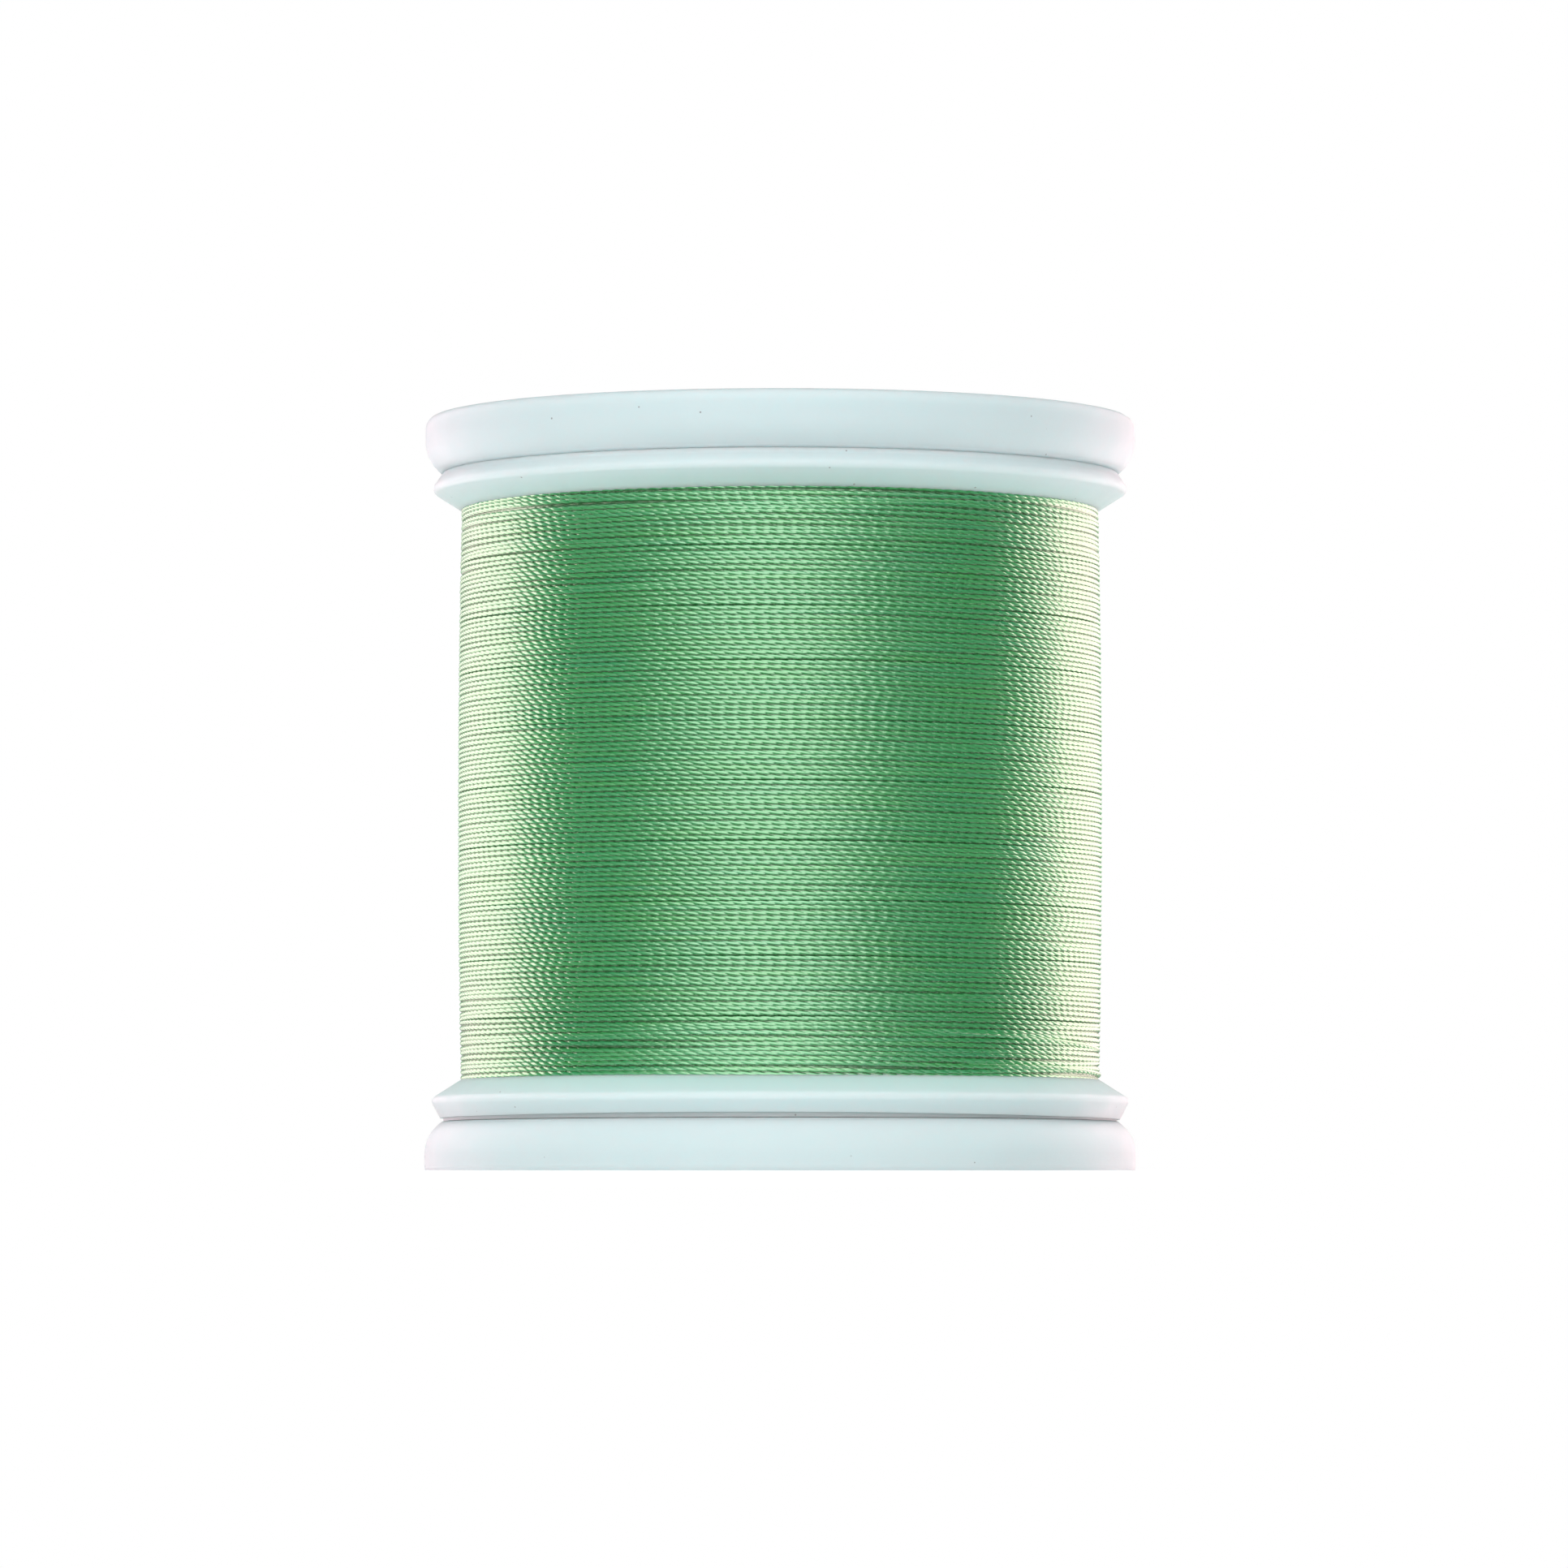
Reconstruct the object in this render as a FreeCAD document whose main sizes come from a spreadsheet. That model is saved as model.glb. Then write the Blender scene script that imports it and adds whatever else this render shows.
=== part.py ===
import FreeCAD, Part
import math
import os
import Sketcher
from FreeCAD import Placement, Rotation, Vector

# A snap spool of fishing line: a bobbin with two flanges, a snap cap at each end
# that pops open to lock the line's end, the wound line, and two paper labels.
# Frame: +Z up along the spool's axis, origin in the middle of the face it stands on.

# Driving sizes in millimetres, and counts
SIZES = {
    # Snap cap, the same moulding at both ends
    "cap_diameter": 32.0,
    "cap_height": 2.55,
    "cap_seat_inset": 0.8,
    "cap_shoulder_round": 1.75,
    "cap_corner_round": 0.5,
    "cap_skirt_wall": 1.9,
    "cap_web": 1.2,
    # Hub of the cap, with the hole for a spindle
    "spindle_bore_diameter": 7.0,
    "spindle_bore_chamfer": 0.3,
    "hub_wall": 1.1,
    "hub_length": 8.0,
    # Ribs between the hub and the collar
    "rib_count": 6,
    "rib_height": 1.6,
    "rib_thickness": 0.8,
    # Collar of snap fingers that runs inside the barrel
    "collar_wall": 1.0,
    "collar_clearance": 0.08,
    "collar_tip": 0.2,
    "finger_count": 4,
    "finger_slot_width": 2.0,
    "finger_root_height": 2.0,
    "barb_reach": 0.42,
    "barb_land": 0.37,
    "barb_lead_in": 0.73,
    "barb_clearance": 0.05,
    # Snap lip in the barrel's mouth, and the widest gap that it lets a cap open
    "snap_lip_length": 1.6,
    "snap_opening": 2.1,
    # Label in its recess, which leaves a ring of the cap bare at the bore and at the rim
    "label_recess_depth": 0.3,
    "label_bore_land": 2.1,
    "label_rim_land": 2.4,
    "label_margin": 0.2,
    "label_thickness": 0.12,
    # Bobbin: flanges, each set back a little from its cap's rim, and barrel
    "flange_set_back": 0.15,
    "flange_bevel": 0.45,
    "flange_cone_reach": 1.45,
    "flange_rim_height": 0.7,
    "flange_cone_height": 0.92,
    "flange_nose_round": 0.25,
    "barrel_wall": 1.4,
    "winding_width": 25.61,
    # Line: its own diameter, how deep it is wound, how far the middle of the winding
    # stands above the flange's cone and above its own ends, and the outer layer of turns
    "line_diameter": 0.25,
    "winding_depth": 2.32,
    "line_proud": 0.12,
    "line_crown": 0.14,
    "turn_count": 24,
    "turn_diameter": 0.62,
    "turn_bend_radius": 0.66,
    "wrap_clearance": 0.03,
    "notch_clearance": 0.1,
    # Air left between a closed cap and the flange or the line that it sits on
    "seat_clearance": 0.05,
}

# Radii and heights that follow from the driving sizes
PLACES = {
    "cap_radius": "sizes.cap_diameter / 2",
    "cap_seat_radius": "places.cap_radius - sizes.cap_seat_inset",
    "shoulder_rise": "sqrt(sizes.cap_shoulder_round ^ 2"
                     " - (sizes.cap_shoulder_round - sizes.cap_seat_inset) ^ 2)",
    "shoulder_height": "sizes.cap_height - places.shoulder_rise",
    "skirt_inner_radius": "places.cap_radius - sizes.cap_skirt_wall",
    "web_top": "sizes.label_recess_depth + sizes.cap_web",
    "spindle_radius": "sizes.spindle_bore_diameter / 2",
    "hub_radius": "places.spindle_radius + sizes.hub_wall",
    "rib_base": "places.web_top - sizes.cap_web / 2",
    "recess_inner_radius": "places.spindle_radius + sizes.label_bore_land",
    "recess_outer_radius": "places.cap_radius - sizes.label_rim_land",
    "flange_radius": "places.cap_radius - sizes.flange_set_back",
    "flange_seat_radius": "places.flange_radius - sizes.flange_bevel",
    "cone_inner_radius": "places.flange_radius - sizes.flange_cone_reach",
    "line_surface_radius": "places.cone_inner_radius + sizes.line_proud",
    "barrel_radius": "places.line_surface_radius - sizes.winding_depth",
    "barrel_bore_radius": "places.barrel_radius - sizes.barrel_wall",
    "collar_radius": "places.barrel_bore_radius - sizes.collar_clearance",
    "collar_bore_radius": "places.collar_radius - sizes.collar_wall",
    "barb_radius": "places.collar_radius + sizes.barb_reach",
    "snap_groove_radius": "places.barb_radius + sizes.barb_clearance",
    "barb_catch_height": "sizes.cap_height + sizes.snap_opening + sizes.snap_lip_length"
                         " + sizes.barb_clearance",
    "barb_land_end": "places.barb_catch_height + sizes.barb_land",
    "barb_end": "places.barb_land_end + sizes.barb_lead_in",
    "barb_root_radius": "places.collar_radius - sizes.collar_wall / 2",
    "collar_top": "places.barb_end + sizes.collar_tip",
    "finger_root": "places.web_top + sizes.finger_root_height",
    "upper_gap": "sizes.seat_clearance",
    "lower_gap": "sizes.line_diameter + sizes.seat_clearance",
    "snap_groove_end": "places.collar_top - sizes.cap_height - places.upper_gap"
                       " + sizes.barb_clearance",
    "flange_thickness": "sizes.flange_rim_height + sizes.flange_cone_height",
    "core_length": "sizes.winding_width + 2 * places.flange_thickness",
    "core_bottom": "sizes.cap_height + places.lower_gap",
    "core_top": "places.core_bottom + places.core_length",
    "total_height": "places.core_top + places.upper_gap + sizes.cap_height",
    "winding_bottom": "places.core_bottom + places.flange_thickness",
    "winding_top": "places.winding_bottom + sizes.winding_width",
    "turns_top": "places.winding_top - sizes.wrap_clearance - sizes.turn_diameter / 2",
    "turns_bottom": "places.winding_bottom + sizes.wrap_clearance + sizes.turn_diameter / 2",
    "package_length": "sizes.winding_width - 2 * sizes.wrap_clearance",
    "package_inner_radius": "places.barrel_radius + sizes.wrap_clearance",
    "turn_path_radius": "places.line_surface_radius - sizes.turn_diameter / 2",
    "package_end_radius": "places.turn_path_radius - sizes.turn_diameter / 2"
                          " - sizes.wrap_clearance - sizes.line_crown",
    "package_crown_radius": "((places.package_length / 2) ^ 2 + sizes.line_crown ^ 2)"
                            " / (2 * sizes.line_crown)",
}

# Directions about the axis, in degrees from +X towards +Y: where the outer layer
# comes up through the roll, and where the line leaves its last turn
HEAD_ANGLE = 90.0
TAIL_ANGLE = -12.0

# How far the line's end runs straight on from its last turn, and the share of the
# shorter run that the arc at each of its corners takes
FIRST_RUN = 1.6
ARC_SHARE = 0.45

# How far a cut runs past the solid that it opens
CUT_MARGIN = 0.3


def make_sizes(doc):
    """The sheet of driving sizes, one row for each."""
    sheet = doc.addObject("Spreadsheet::Sheet", "sizes")
    for row, (alias, value) in enumerate(SIZES.items(), start=1):
        sheet.set(f"A{row}", alias)
        sheet.set(f"B{row}", str(value))
        sheet.setAlias(f"B{row}", alias)
    doc.recompute()
    return sheet


def make_places(doc):
    """The set of values worked out from the sheet."""
    places = doc.addObject("App::VarSet", "places")
    for name, formula in PLACES.items():
        places.addProperty("App::PropertyFloat", name, "Places")
        places.setExpression(name, formula)
    doc.recompute()
    return places


def number(owner, formula):
    """The value that a formula has now."""
    return float(owner.evalExpression(formula))


def origin_plane(body, role):
    """One of the body's own origin planes."""
    for feature in body.Origin.OriginFeatures:
        if feature.Role == role:
            return feature
    raise ValueError(role)


def attached_sketch(body, name, role, height=None):
    """An empty sketch on an origin plane, lifted along the plane's normal."""
    sketch = body.newObject("Sketcher::SketchObject", name)
    sketch.AttachmentSupport = [(origin_plane(body, role), "")]
    sketch.MapMode = "FlatFace"
    if height is not None:
        sketch.setExpression("AttachmentOffset.Base.z", height)
    return sketch


def bind(sketch, constraint, name, formula):
    """Add a named constraint whose value follows a formula."""
    index = sketch.addConstraint(constraint)
    sketch.renameConstraint(index, name)
    sketch.setExpression(f"Constraints.{name}", formula)


def pin_corner(sketch, edge, corner):
    """Hold the start of an edge at its two coordinates."""
    axes = (("DistanceX", "across", -2), ("DistanceY", "up", -1))
    for (kind, word, axis), formula in zip(axes, corner):
        value = number(sketch, formula)
        if value == 0:
            sketch.addConstraint(Sketcher.Constraint("PointOnObject", edge, 1, axis))
        else:
            constraint = Sketcher.Constraint(kind, -1, 1, edge, 1, value)
            bind(sketch, constraint, f"{word}_{edge}", formula)


def round_edge(start, end, radius):
    """Arc that bulges to the right of the way from start to end."""
    chord = end - start
    inward = Vector(-chord.y, chord.x, 0).normalize()
    depth = math.sqrt(radius ** 2 - (chord.Length / 2) ** 2)
    centre = (start + end) / 2 + inward * depth
    first = math.atan2(start.y - centre.y, start.x - centre.x)
    last = math.atan2(end.y - centre.y, end.x - centre.x)
    return Part.ArcOfCircle(Part.Circle(centre, Vector(0, 0, 1), radius), first, last)


def draw_outline(sketch, corners, arcs=None):
    """Closed outline through the corners, anticlockwise, with every size bound.

    A corner is a pair of formulas. arcs gives the radius of an edge that is
    round, by the number of the corner that it leaves.
    """
    arcs = arcs or {}
    points = [Vector(*(number(sketch, formula) for formula in corner), 0) for corner in corners]
    for edge, start in enumerate(points):
        end = points[(edge + 1) % len(points)]
        if edge in arcs:
            sketch.addGeometry(round_edge(start, end, number(sketch, arcs[edge])))
        else:
            sketch.addGeometry(Part.LineSegment(start, end))
    for edge, corner in enumerate(corners):
        following = (edge + 1) % len(corners)
        sketch.addConstraint(Sketcher.Constraint("Coincident", edge, 2, following, 1))
        pin_corner(sketch, edge, corner)
    for edge, formula in arcs.items():
        constraint = Sketcher.Constraint("Radius", edge, number(sketch, formula))
        bind(sketch, constraint, f"round_{edge}", formula)


def draw_circle(sketch, name, radius):
    """Circle about the sketch's origin."""
    circle = Part.Circle(Vector(0, 0, 0), Vector(0, 0, 1), number(sketch, radius))
    index = sketch.addGeometry(circle)
    sketch.addConstraint(Sketcher.Constraint("Coincident", index, 3, -1, 1))
    bind(sketch, Sketcher.Constraint("Radius", index, number(sketch, radius)), name, radius)


def turned(body, kind, name, corners, arcs=None):
    """Revolution or Groove of an outline of (radius, height) about the body's Z axis."""
    sketch = attached_sketch(body, f"{name}_outline", "XZ_Plane")
    draw_outline(sketch, corners, arcs)
    feature = body.newObject(f"PartDesign::{kind}", name)
    feature.Profile = sketch
    feature.ReferenceAxis = (sketch, ["V_Axis"])
    feature.Angle = 360
    return finish_feature(body, feature, kind)


def straight(body, kind, name, sketch, length, reverse=False):
    """Pad or Pocket of a sketch over a length."""
    feature = body.newObject(f"PartDesign::{kind}", name)
    feature.Profile = sketch
    feature.Reversed = reverse
    feature.setExpression("Length", length)
    return finish_feature(body, feature, kind)


def around_axis(body, name, feature, kind, count):
    """Repeat a Pad or Pocket evenly about the body's Z axis."""
    pattern = body.newObject("PartDesign::PolarPattern", name)
    pattern.Originals = [feature]
    pattern.Axis = (feature.Profile[0], ["N_Axis"])
    pattern.Angle = 360
    pattern.setExpression("Occurrences", count)
    return finish_feature(body, pattern, kind)


def finish_feature(body, feature, kind):
    """Make the feature the body's tip and see that it adds or removes material."""
    body.Tip = feature
    body.Document.recompute()
    before = feature.BaseFeature.Shape.Volume if feature.BaseFeature else 0.0
    change = feature.Shape.Volume - before
    grows = kind in ("Revolution", "Pad")
    if change == 0 or (change > 0) != grows:
        raise ValueError(f"{feature.Name} changes the volume by {change}")
    return feature


def ring_edges(shape, radius, height):
    """Names of the round edges that have this radius at this height."""
    names = []
    for index, edge in enumerate(shape.Edges, start=1):
        curve = edge.Curve
        if curve.TypeId != "Part::GeomCircle":
            continue
        same_radius = math.isclose(curve.Radius, radius, abs_tol=1e-4)
        if same_radius and math.isclose(curve.Center.z, height, abs_tol=1e-4):
            names.append(f"Edge{index}")
    return names


def soften(body, kind, name, rings, size_name, size):
    """Fillet or Chamfer on the round edges at the (radius, height) places given."""
    base = body.Tip
    edges = []
    for radius, height in rings:
        edges += ring_edges(base.Shape, number(base, radius), number(base, height))
    feature = body.newObject(f"PartDesign::{kind}", name)
    feature.Base = (base, edges)
    feature.setExpression(size_name, size)
    return finish_feature(body, feature, kind)


def new_body(doc, label, height, turned_over=False):
    """Body that stands at a height, upside down where it is turned over."""
    body = doc.addObject("PartDesign::Body", label)
    body.Label = label
    if turned_over:
        body.Placement = Placement(Vector(0, 0, 0), Rotation(Vector(1, 0, 0), 180))
    body.setExpression("Placement.Base.z", height)
    return body


def make_core(doc):
    """Bobbin: a barrel with a flange at each end and a snap groove in each mouth."""
    body = new_body(doc, "spool_core", "places.core_bottom")
    length = "places.core_length"
    wound = f"{length} - places.flange_thickness"
    turned(body, "Revolution", "core_bobbin", [
        ("places.barrel_bore_radius", "0"),
        ("places.flange_seat_radius", "0"),
        ("places.flange_radius", "sizes.flange_rim_height"),
        ("places.cone_inner_radius", "places.flange_thickness"),
        ("places.barrel_radius", "places.flange_thickness"),
        ("places.barrel_radius", wound),
        ("places.cone_inner_radius", wound),
        ("places.flange_radius", f"{length} - sizes.flange_rim_height"),
        ("places.flange_seat_radius", length),
        ("places.barrel_bore_radius", length),
    ])
    lip = "sizes.snap_lip_length"
    end = "places.snap_groove_end"
    mouths = {"lower": (lip, end), "upper": (f"{length} - {end}", f"{length} - {lip}")}
    for mouth, (low, high) in mouths.items():
        turned(body, "Groove", f"core_{mouth}_snap_groove", [
            ("places.collar_radius", low),
            ("places.snap_groove_radius", low),
            ("places.snap_groove_radius", high),
            ("places.collar_radius", high),
        ])
    noses = [
        ("places.flange_radius", "sizes.flange_rim_height"),
        ("places.flange_radius", f"{length} - sizes.flange_rim_height"),
    ]
    soften(body, "Fillet", "core_flange_noses", noses, "Radius", "sizes.flange_nose_round")
    return body


def make_cap(doc, label, height, turned_over):
    """Snap cap: dish with a seat on its skirt, a hub, ribs and a collar of four fingers."""
    body = new_body(doc, label, height, turned_over)
    turned(body, "Revolution", f"{label}_dish", [
        ("places.spindle_radius", "0"),
        ("places.cap_radius", "0"),
        ("places.cap_radius", "places.shoulder_height"),
        ("places.cap_seat_radius", "sizes.cap_height"),
        ("places.skirt_inner_radius", "sizes.cap_height"),
        ("places.skirt_inner_radius", "places.web_top"),
        ("places.collar_radius", "places.web_top"),
        ("places.collar_radius", "places.collar_top"),
        ("places.collar_bore_radius", "places.collar_top"),
        ("places.collar_bore_radius", "places.web_top"),
        ("places.hub_radius", "places.web_top"),
        ("places.hub_radius", "sizes.hub_length"),
        ("places.spindle_radius", "sizes.hub_length"),
    ], arcs={2: "sizes.cap_shoulder_round"})
    turned(body, "Revolution", f"{label}_barb", [
        ("places.barb_root_radius", "places.barb_catch_height"),
        ("places.barb_radius", "places.barb_catch_height"),
        ("places.barb_radius", "places.barb_land_end"),
        ("places.collar_radius", "places.barb_end"),
        ("places.barb_root_radius", "places.barb_end"),
    ])
    turned(body, "Groove", f"{label}_label_recess", [
        ("places.recess_inner_radius", "0"),
        ("places.recess_outer_radius", "0"),
        ("places.recess_outer_radius", "sizes.label_recess_depth"),
        ("places.recess_inner_radius", "sizes.label_recess_depth"),
    ])
    add_ribs(body, label)
    cut_finger_slots(body, label)
    corner = [("places.cap_radius", "0")]
    soften(body, "Fillet", f"{label}_corner", corner, "Radius", "sizes.cap_corner_round")
    mouth = [("places.spindle_radius", "0")]
    soften(body, "Chamfer", f"{label}_mouth", mouth, "Size", "sizes.spindle_bore_chamfer")
    return body


def bar_corners(inner, outer, width):
    """Corners of a bar that lies along +X, centred on the axis."""
    side = f"{width} / 2"
    return [(inner, f"-{side}"), (outer, f"-{side}"), (outer, side), (inner, side)]


def add_ribs(body, label):
    """Ribs that stand on the web and join the hub to the collar."""
    sketch = attached_sketch(body, f"{label}_rib_outline", "XY_Plane", "places.rib_base")
    inner = "places.hub_radius - sizes.hub_wall / 2"
    outer = "places.collar_bore_radius + sizes.collar_wall / 2"
    draw_outline(sketch, bar_corners(inner, outer, "sizes.rib_thickness"))
    length = "places.web_top - places.rib_base + sizes.rib_height"
    rib = straight(body, "Pad", f"{label}_rib", sketch, length)
    around_axis(body, f"{label}_ribs", rib, "Pad", "sizes.rib_count")


def cut_finger_slots(body, label):
    """Slots that part the collar into fingers, from above the ribs to its tip."""
    sketch = attached_sketch(body, f"{label}_slot_outline", "XY_Plane", "places.finger_root")
    inner = f"places.collar_bore_radius - {CUT_MARGIN}"
    outer = f"places.barb_radius + {CUT_MARGIN}"
    draw_outline(sketch, bar_corners(inner, outer, "sizes.finger_slot_width"))
    length = f"places.collar_top - places.finger_root + {CUT_MARGIN}"
    slot = straight(body, "Pocket", f"{label}_slot", sketch, length, reverse=True)
    around_axis(body, f"{label}_slots", slot, "Pocket", "sizes.finger_count")


def make_label(doc, label, height):
    """Paper ring glued to the floor of the recess in a cap."""
    body = new_body(doc, label, height)
    sketch = attached_sketch(body, f"{label}_outline", "XY_Plane")
    draw_circle(sketch, "rim", "places.recess_outer_radius - sizes.label_margin")
    draw_circle(sketch, "hole", "places.recess_inner_radius + sizes.label_margin")
    straight(body, "Pad", f"{label}_paper", sketch, "sizes.label_thickness")
    return body


def make_package(doc):
    """All inner layers of line, one plain crowned roll on the barrel."""
    body = new_body(doc, "line_package", "places.winding_bottom + sizes.wrap_clearance")
    turned(body, "Revolution", "package_roll", [
        ("places.package_inner_radius", "0"),
        ("places.package_end_radius", "0"),
        ("places.package_end_radius", "places.package_length"),
        ("places.package_inner_radius", "places.package_length"),
    ], arcs={1: "places.package_crown_radius"})
    cut_package_notch(body)
    return body


def cut_package_notch(body):
    """Notch in the roll's upper edge at the back, where the outer layer comes up."""
    sketch = attached_sketch(body, "package_notch_outline", "XZ_Plane")
    room = "sizes.notch_clearance"
    floor = f"places.package_length - sizes.turn_diameter - {room}"
    draw_outline(sketch, [
        (f"-(sizes.turn_bend_radius + {room})", floor),
        (f"sizes.turn_diameter / 2 + {room}", floor),
        (f"sizes.turn_diameter / 2 + {room}", f"places.package_length + {CUT_MARGIN}"),
        (f"-(sizes.turn_bend_radius + {room})", f"places.package_length + {CUT_MARGIN}"),
    ])
    straight(body, "Pocket", "package_notch", sketch, "places.line_surface_radius")


def corner_arc(start, corner, end):
    """Arc from start to end whose end tangents meet at the corner, as far from both."""
    to_start = (start - corner).normalize()
    to_end = (end - corner).normalize()
    bisector = (to_start + to_end).normalize()
    half_opening = to_start.getAngle(bisector)
    tangent = (start - corner).Length
    radius = tangent * math.tan(half_opening)
    middle = corner + bisector * (tangent / math.cos(half_opening) - radius)
    return Part.Arc(start, middle, end)


def biarc(start, start_way, end, end_way):
    """Two arcs that meet smoothly and keep the directions at both ends.

    Each arc's tangents have one length, the one that makes the two inner
    corners lie twice that length apart.
    """
    chord = end - start
    ways = start_way + end_way
    spread = 4 - ways.dot(ways)
    reach = chord.dot(ways)
    tangent = (math.sqrt(reach ** 2 + spread * chord.dot(chord)) - reach) / spread
    first = start + start_way * tangent
    second = end - end_way * tangent
    meeting = (first + second) / 2
    return [corner_arc(start, first, meeting), corner_arc(meeting, second, end)]


def sweep(path, diameter):
    """Round tube along a smooth chain of edges, with its volume compared."""
    first = path[0]
    normal = first.tangent(first.FirstParameter)[0]
    profile = Part.Circle(first.value(first.FirstParameter), normal, diameter / 2)
    wire = Part.Wire([edge.toShape() for edge in path])
    tube = wire.makePipeShell([Part.Wire([profile.toShape()])], True, False)
    expected = math.pi * diameter ** 2 / 4 * wire.Length
    print(f"tube: length {wire.Length:.2f}, volume {tube.Volume:.3f} for {expected:.3f}")
    return tube


def around(angle):
    """Directions away from the axis and round it, at an angle in radians."""
    return Vector(math.cos(angle), math.sin(angle), 0), Vector(-math.sin(angle), math.cos(angle), 0)


def helix_point(sheet, places, angle, turned, pitch):
    """Point and direction on the outer layer at an angle, after a turn so far.

    It falls by the pitch in each turn. Its radius is largest in the middle of
    the winding and falls with the square of the distance from the middle.
    """
    fall = -pitch / (2 * math.pi)
    height = places.turns_top + fall * turned
    half_width = sheet.winding_width / 2
    share = (height - places.winding_bottom) / half_width - 1
    radius = places.turn_path_radius - sheet.line_crown * share ** 2
    swell = -2 * sheet.line_crown * share * fall / half_width
    out, along = around(angle)
    point = out * radius + Vector(0, 0, height)
    way = out * swell + along * radius + Vector(0, 0, fall)
    return point, way.normalize()


def turns_path(sheet, places):
    """Smooth path of the outer layer, from the barrel at the back to the line's end."""
    bend = sheet.turn_bend_radius
    head = math.radians(HEAD_ANGLE)
    end_radius = places.turn_path_radius - sheet.line_crown
    first = head + math.asin(bend / (end_radius - bend))
    last_part = (math.radians(TAIL_ANGLE) - first) % (2 * math.pi)
    whole = 2 * math.pi * (sheet.turn_count - 1) + last_part
    pitch = 2 * math.pi * (places.turns_top - places.turns_bottom) / whole
    quarter = math.pi / 2
    steps = [quarter * count for count in range(math.ceil(whole / quarter))] + [whole]
    knots = [helix_point(sheet, places, first + step, step, pitch) for step in steps]

    out, along = around(head)
    start, way = knots[0]
    tangent = start.dot(along) / way.dot(along)
    corner = start - way * tangent
    bend_start = corner - out * tangent
    foot = out * places.package_inner_radius + Vector(0, 0, corner.z)
    path = [Part.LineSegment(foot, bend_start), corner_arc(bend_start, corner, start)]
    for (here, here_way), (there, there_way) in zip(knots, knots[1:]):
        path += biarc(here, here_way, there, there_way)
    end, way = knots[-1]
    path.append(Part.LineSegment(end, end + way * sheet.turn_diameter))
    print(f"turns: {whole / (2 * math.pi):.2f}, pitch {pitch:.3f}")
    return path


def least_gap(path, diameter):
    """Least gap between stretches of the tube half a turn or more apart, on points."""
    points = [edge.value(edge.FirstParameter) for edge in path]
    points.append(path[-1].EndPoint)
    half_turn = 4
    least = math.inf
    for index, point in enumerate(points):
        for other in points[index + half_turn:]:
            least = min(least, (other - point).Length)
    return least - diameter


def make_turns(doc, sheet, places):
    """Outer layer of line: one unbroken helical tube over the roll."""
    path = turns_path(sheet, places)
    print(f"turns: least gap to itself {least_gap(path, sheet.turn_diameter):.3f}")
    feature = doc.addObject("Part::Feature", "line_turns")
    feature.Label = "line_turns"
    feature.Shape = sweep(path, sheet.turn_diameter)
    feature.Placement = Placement()
    return feature, path[-1]


def tail_route(sheet, places, last_run):
    """Points of the line's end: over the flange's cone and rim, then into the gap.

    The points were chosen by hand as (angle, radius, height). The line's centre
    keeps lift from the plastic, and beside a corner it stands further out.
    """
    lift = sheet.line_diameter / 2 + sheet.wrap_clearance
    slope = sheet.flange_cone_height / (places.flange_radius - places.cone_inner_radius)
    stand = lift * math.sqrt(1 + slope ** 2)
    gap_middle = sheet.cap_height + places.lower_gap / 2
    rim_height = places.core_bottom + sheet.flange_rim_height

    def on_cone(radius):
        return rim_height + slope * (places.flange_radius - radius) + stand

    shoulder = places.cone_inner_radius
    rim = places.flange_radius
    seat = places.flange_seat_radius
    cylinder_points = [
        (4.0, shoulder + 0.3, on_cone(shoulder + 0.3) + 0.06),
        (11.5, rim - 0.55, on_cone(rim - 0.55) + 0.06),
        (18.0, rim + 0.28, rim_height + 0.1),
        (24.5, seat + 0.28, gap_middle),
        (31.5, seat - 0.5, gap_middle),
        (38.5, seat - 1.1, gap_middle),
        (44.0, seat - 2.2, gap_middle),
    ]
    start = last_run.EndPoint
    way = (start - last_run.StartPoint).normalize()
    route = [start, start + way * FIRST_RUN]
    for angle, radius, height in cylinder_points:
        turn = math.radians(angle)
        route.append(Vector(radius * math.cos(turn), radius * math.sin(turn), height))
    return route


def rounded_route(points):
    """Straight runs joined by arcs as large as the two runs at each point allow."""
    path = []
    here = points[0]
    for before, corner, after in zip(points, points[1:], points[2:]):
        tangent = ARC_SHARE * min((corner - before).Length, (after - corner).Length)
        arc_start = corner + (before - corner).normalize() * tangent
        arc_end = corner + (after - corner).normalize() * tangent
        path.append(Part.LineSegment(here, arc_start))
        path.append(corner_arc(arc_start, corner, arc_end))
        here = arc_end
    path.append(Part.LineSegment(here, points[-1]))
    return path


def make_tail(doc, sheet, places, last_run):
    """End of the line, held in the gap between the lower flange and its cap."""
    path = rounded_route(tail_route(sheet, places, last_run))
    arcs = [edge for edge in path if isinstance(edge, Part.Arc)]
    radii = [round(1 / arc.curvature(arc.FirstParameter), 2) for arc in arcs]
    print("line end: arc radii", radii)
    feature = doc.addObject("Part::Feature", "line_end")
    feature.Label = "line_end"
    feature.Shape = sweep(path, sheet.line_diameter)
    feature.Placement = Placement()
    return feature


def check_document(doc):
    """Stop at any object that failed to compute."""
    for item in doc.Objects:
        if "Invalid" in item.State or "Error" in item.State:
            raise ValueError(f"{item.Name}: {item.State}")


def write_parts(items):
    """Write each sub-part to its own file, named by its label."""
    os.makedirs("parts", exist_ok=True)
    for item in items:
        shape = item.Shape
        if shape.isNull() or not shape.isValid():
            raise ValueError(f"{item.Label} has no valid shape")
        shape.exportStep(f"parts/{item.Label}.step")
        box = shape.BoundBox
        print(f"{item.Label}: {len(shape.Solids)} solid, volume {shape.Volume:.2f}, "
              f"z {box.ZMin:.3f} to {box.ZMax:.3f}, radius {box.XMax:.3f}")


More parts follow.
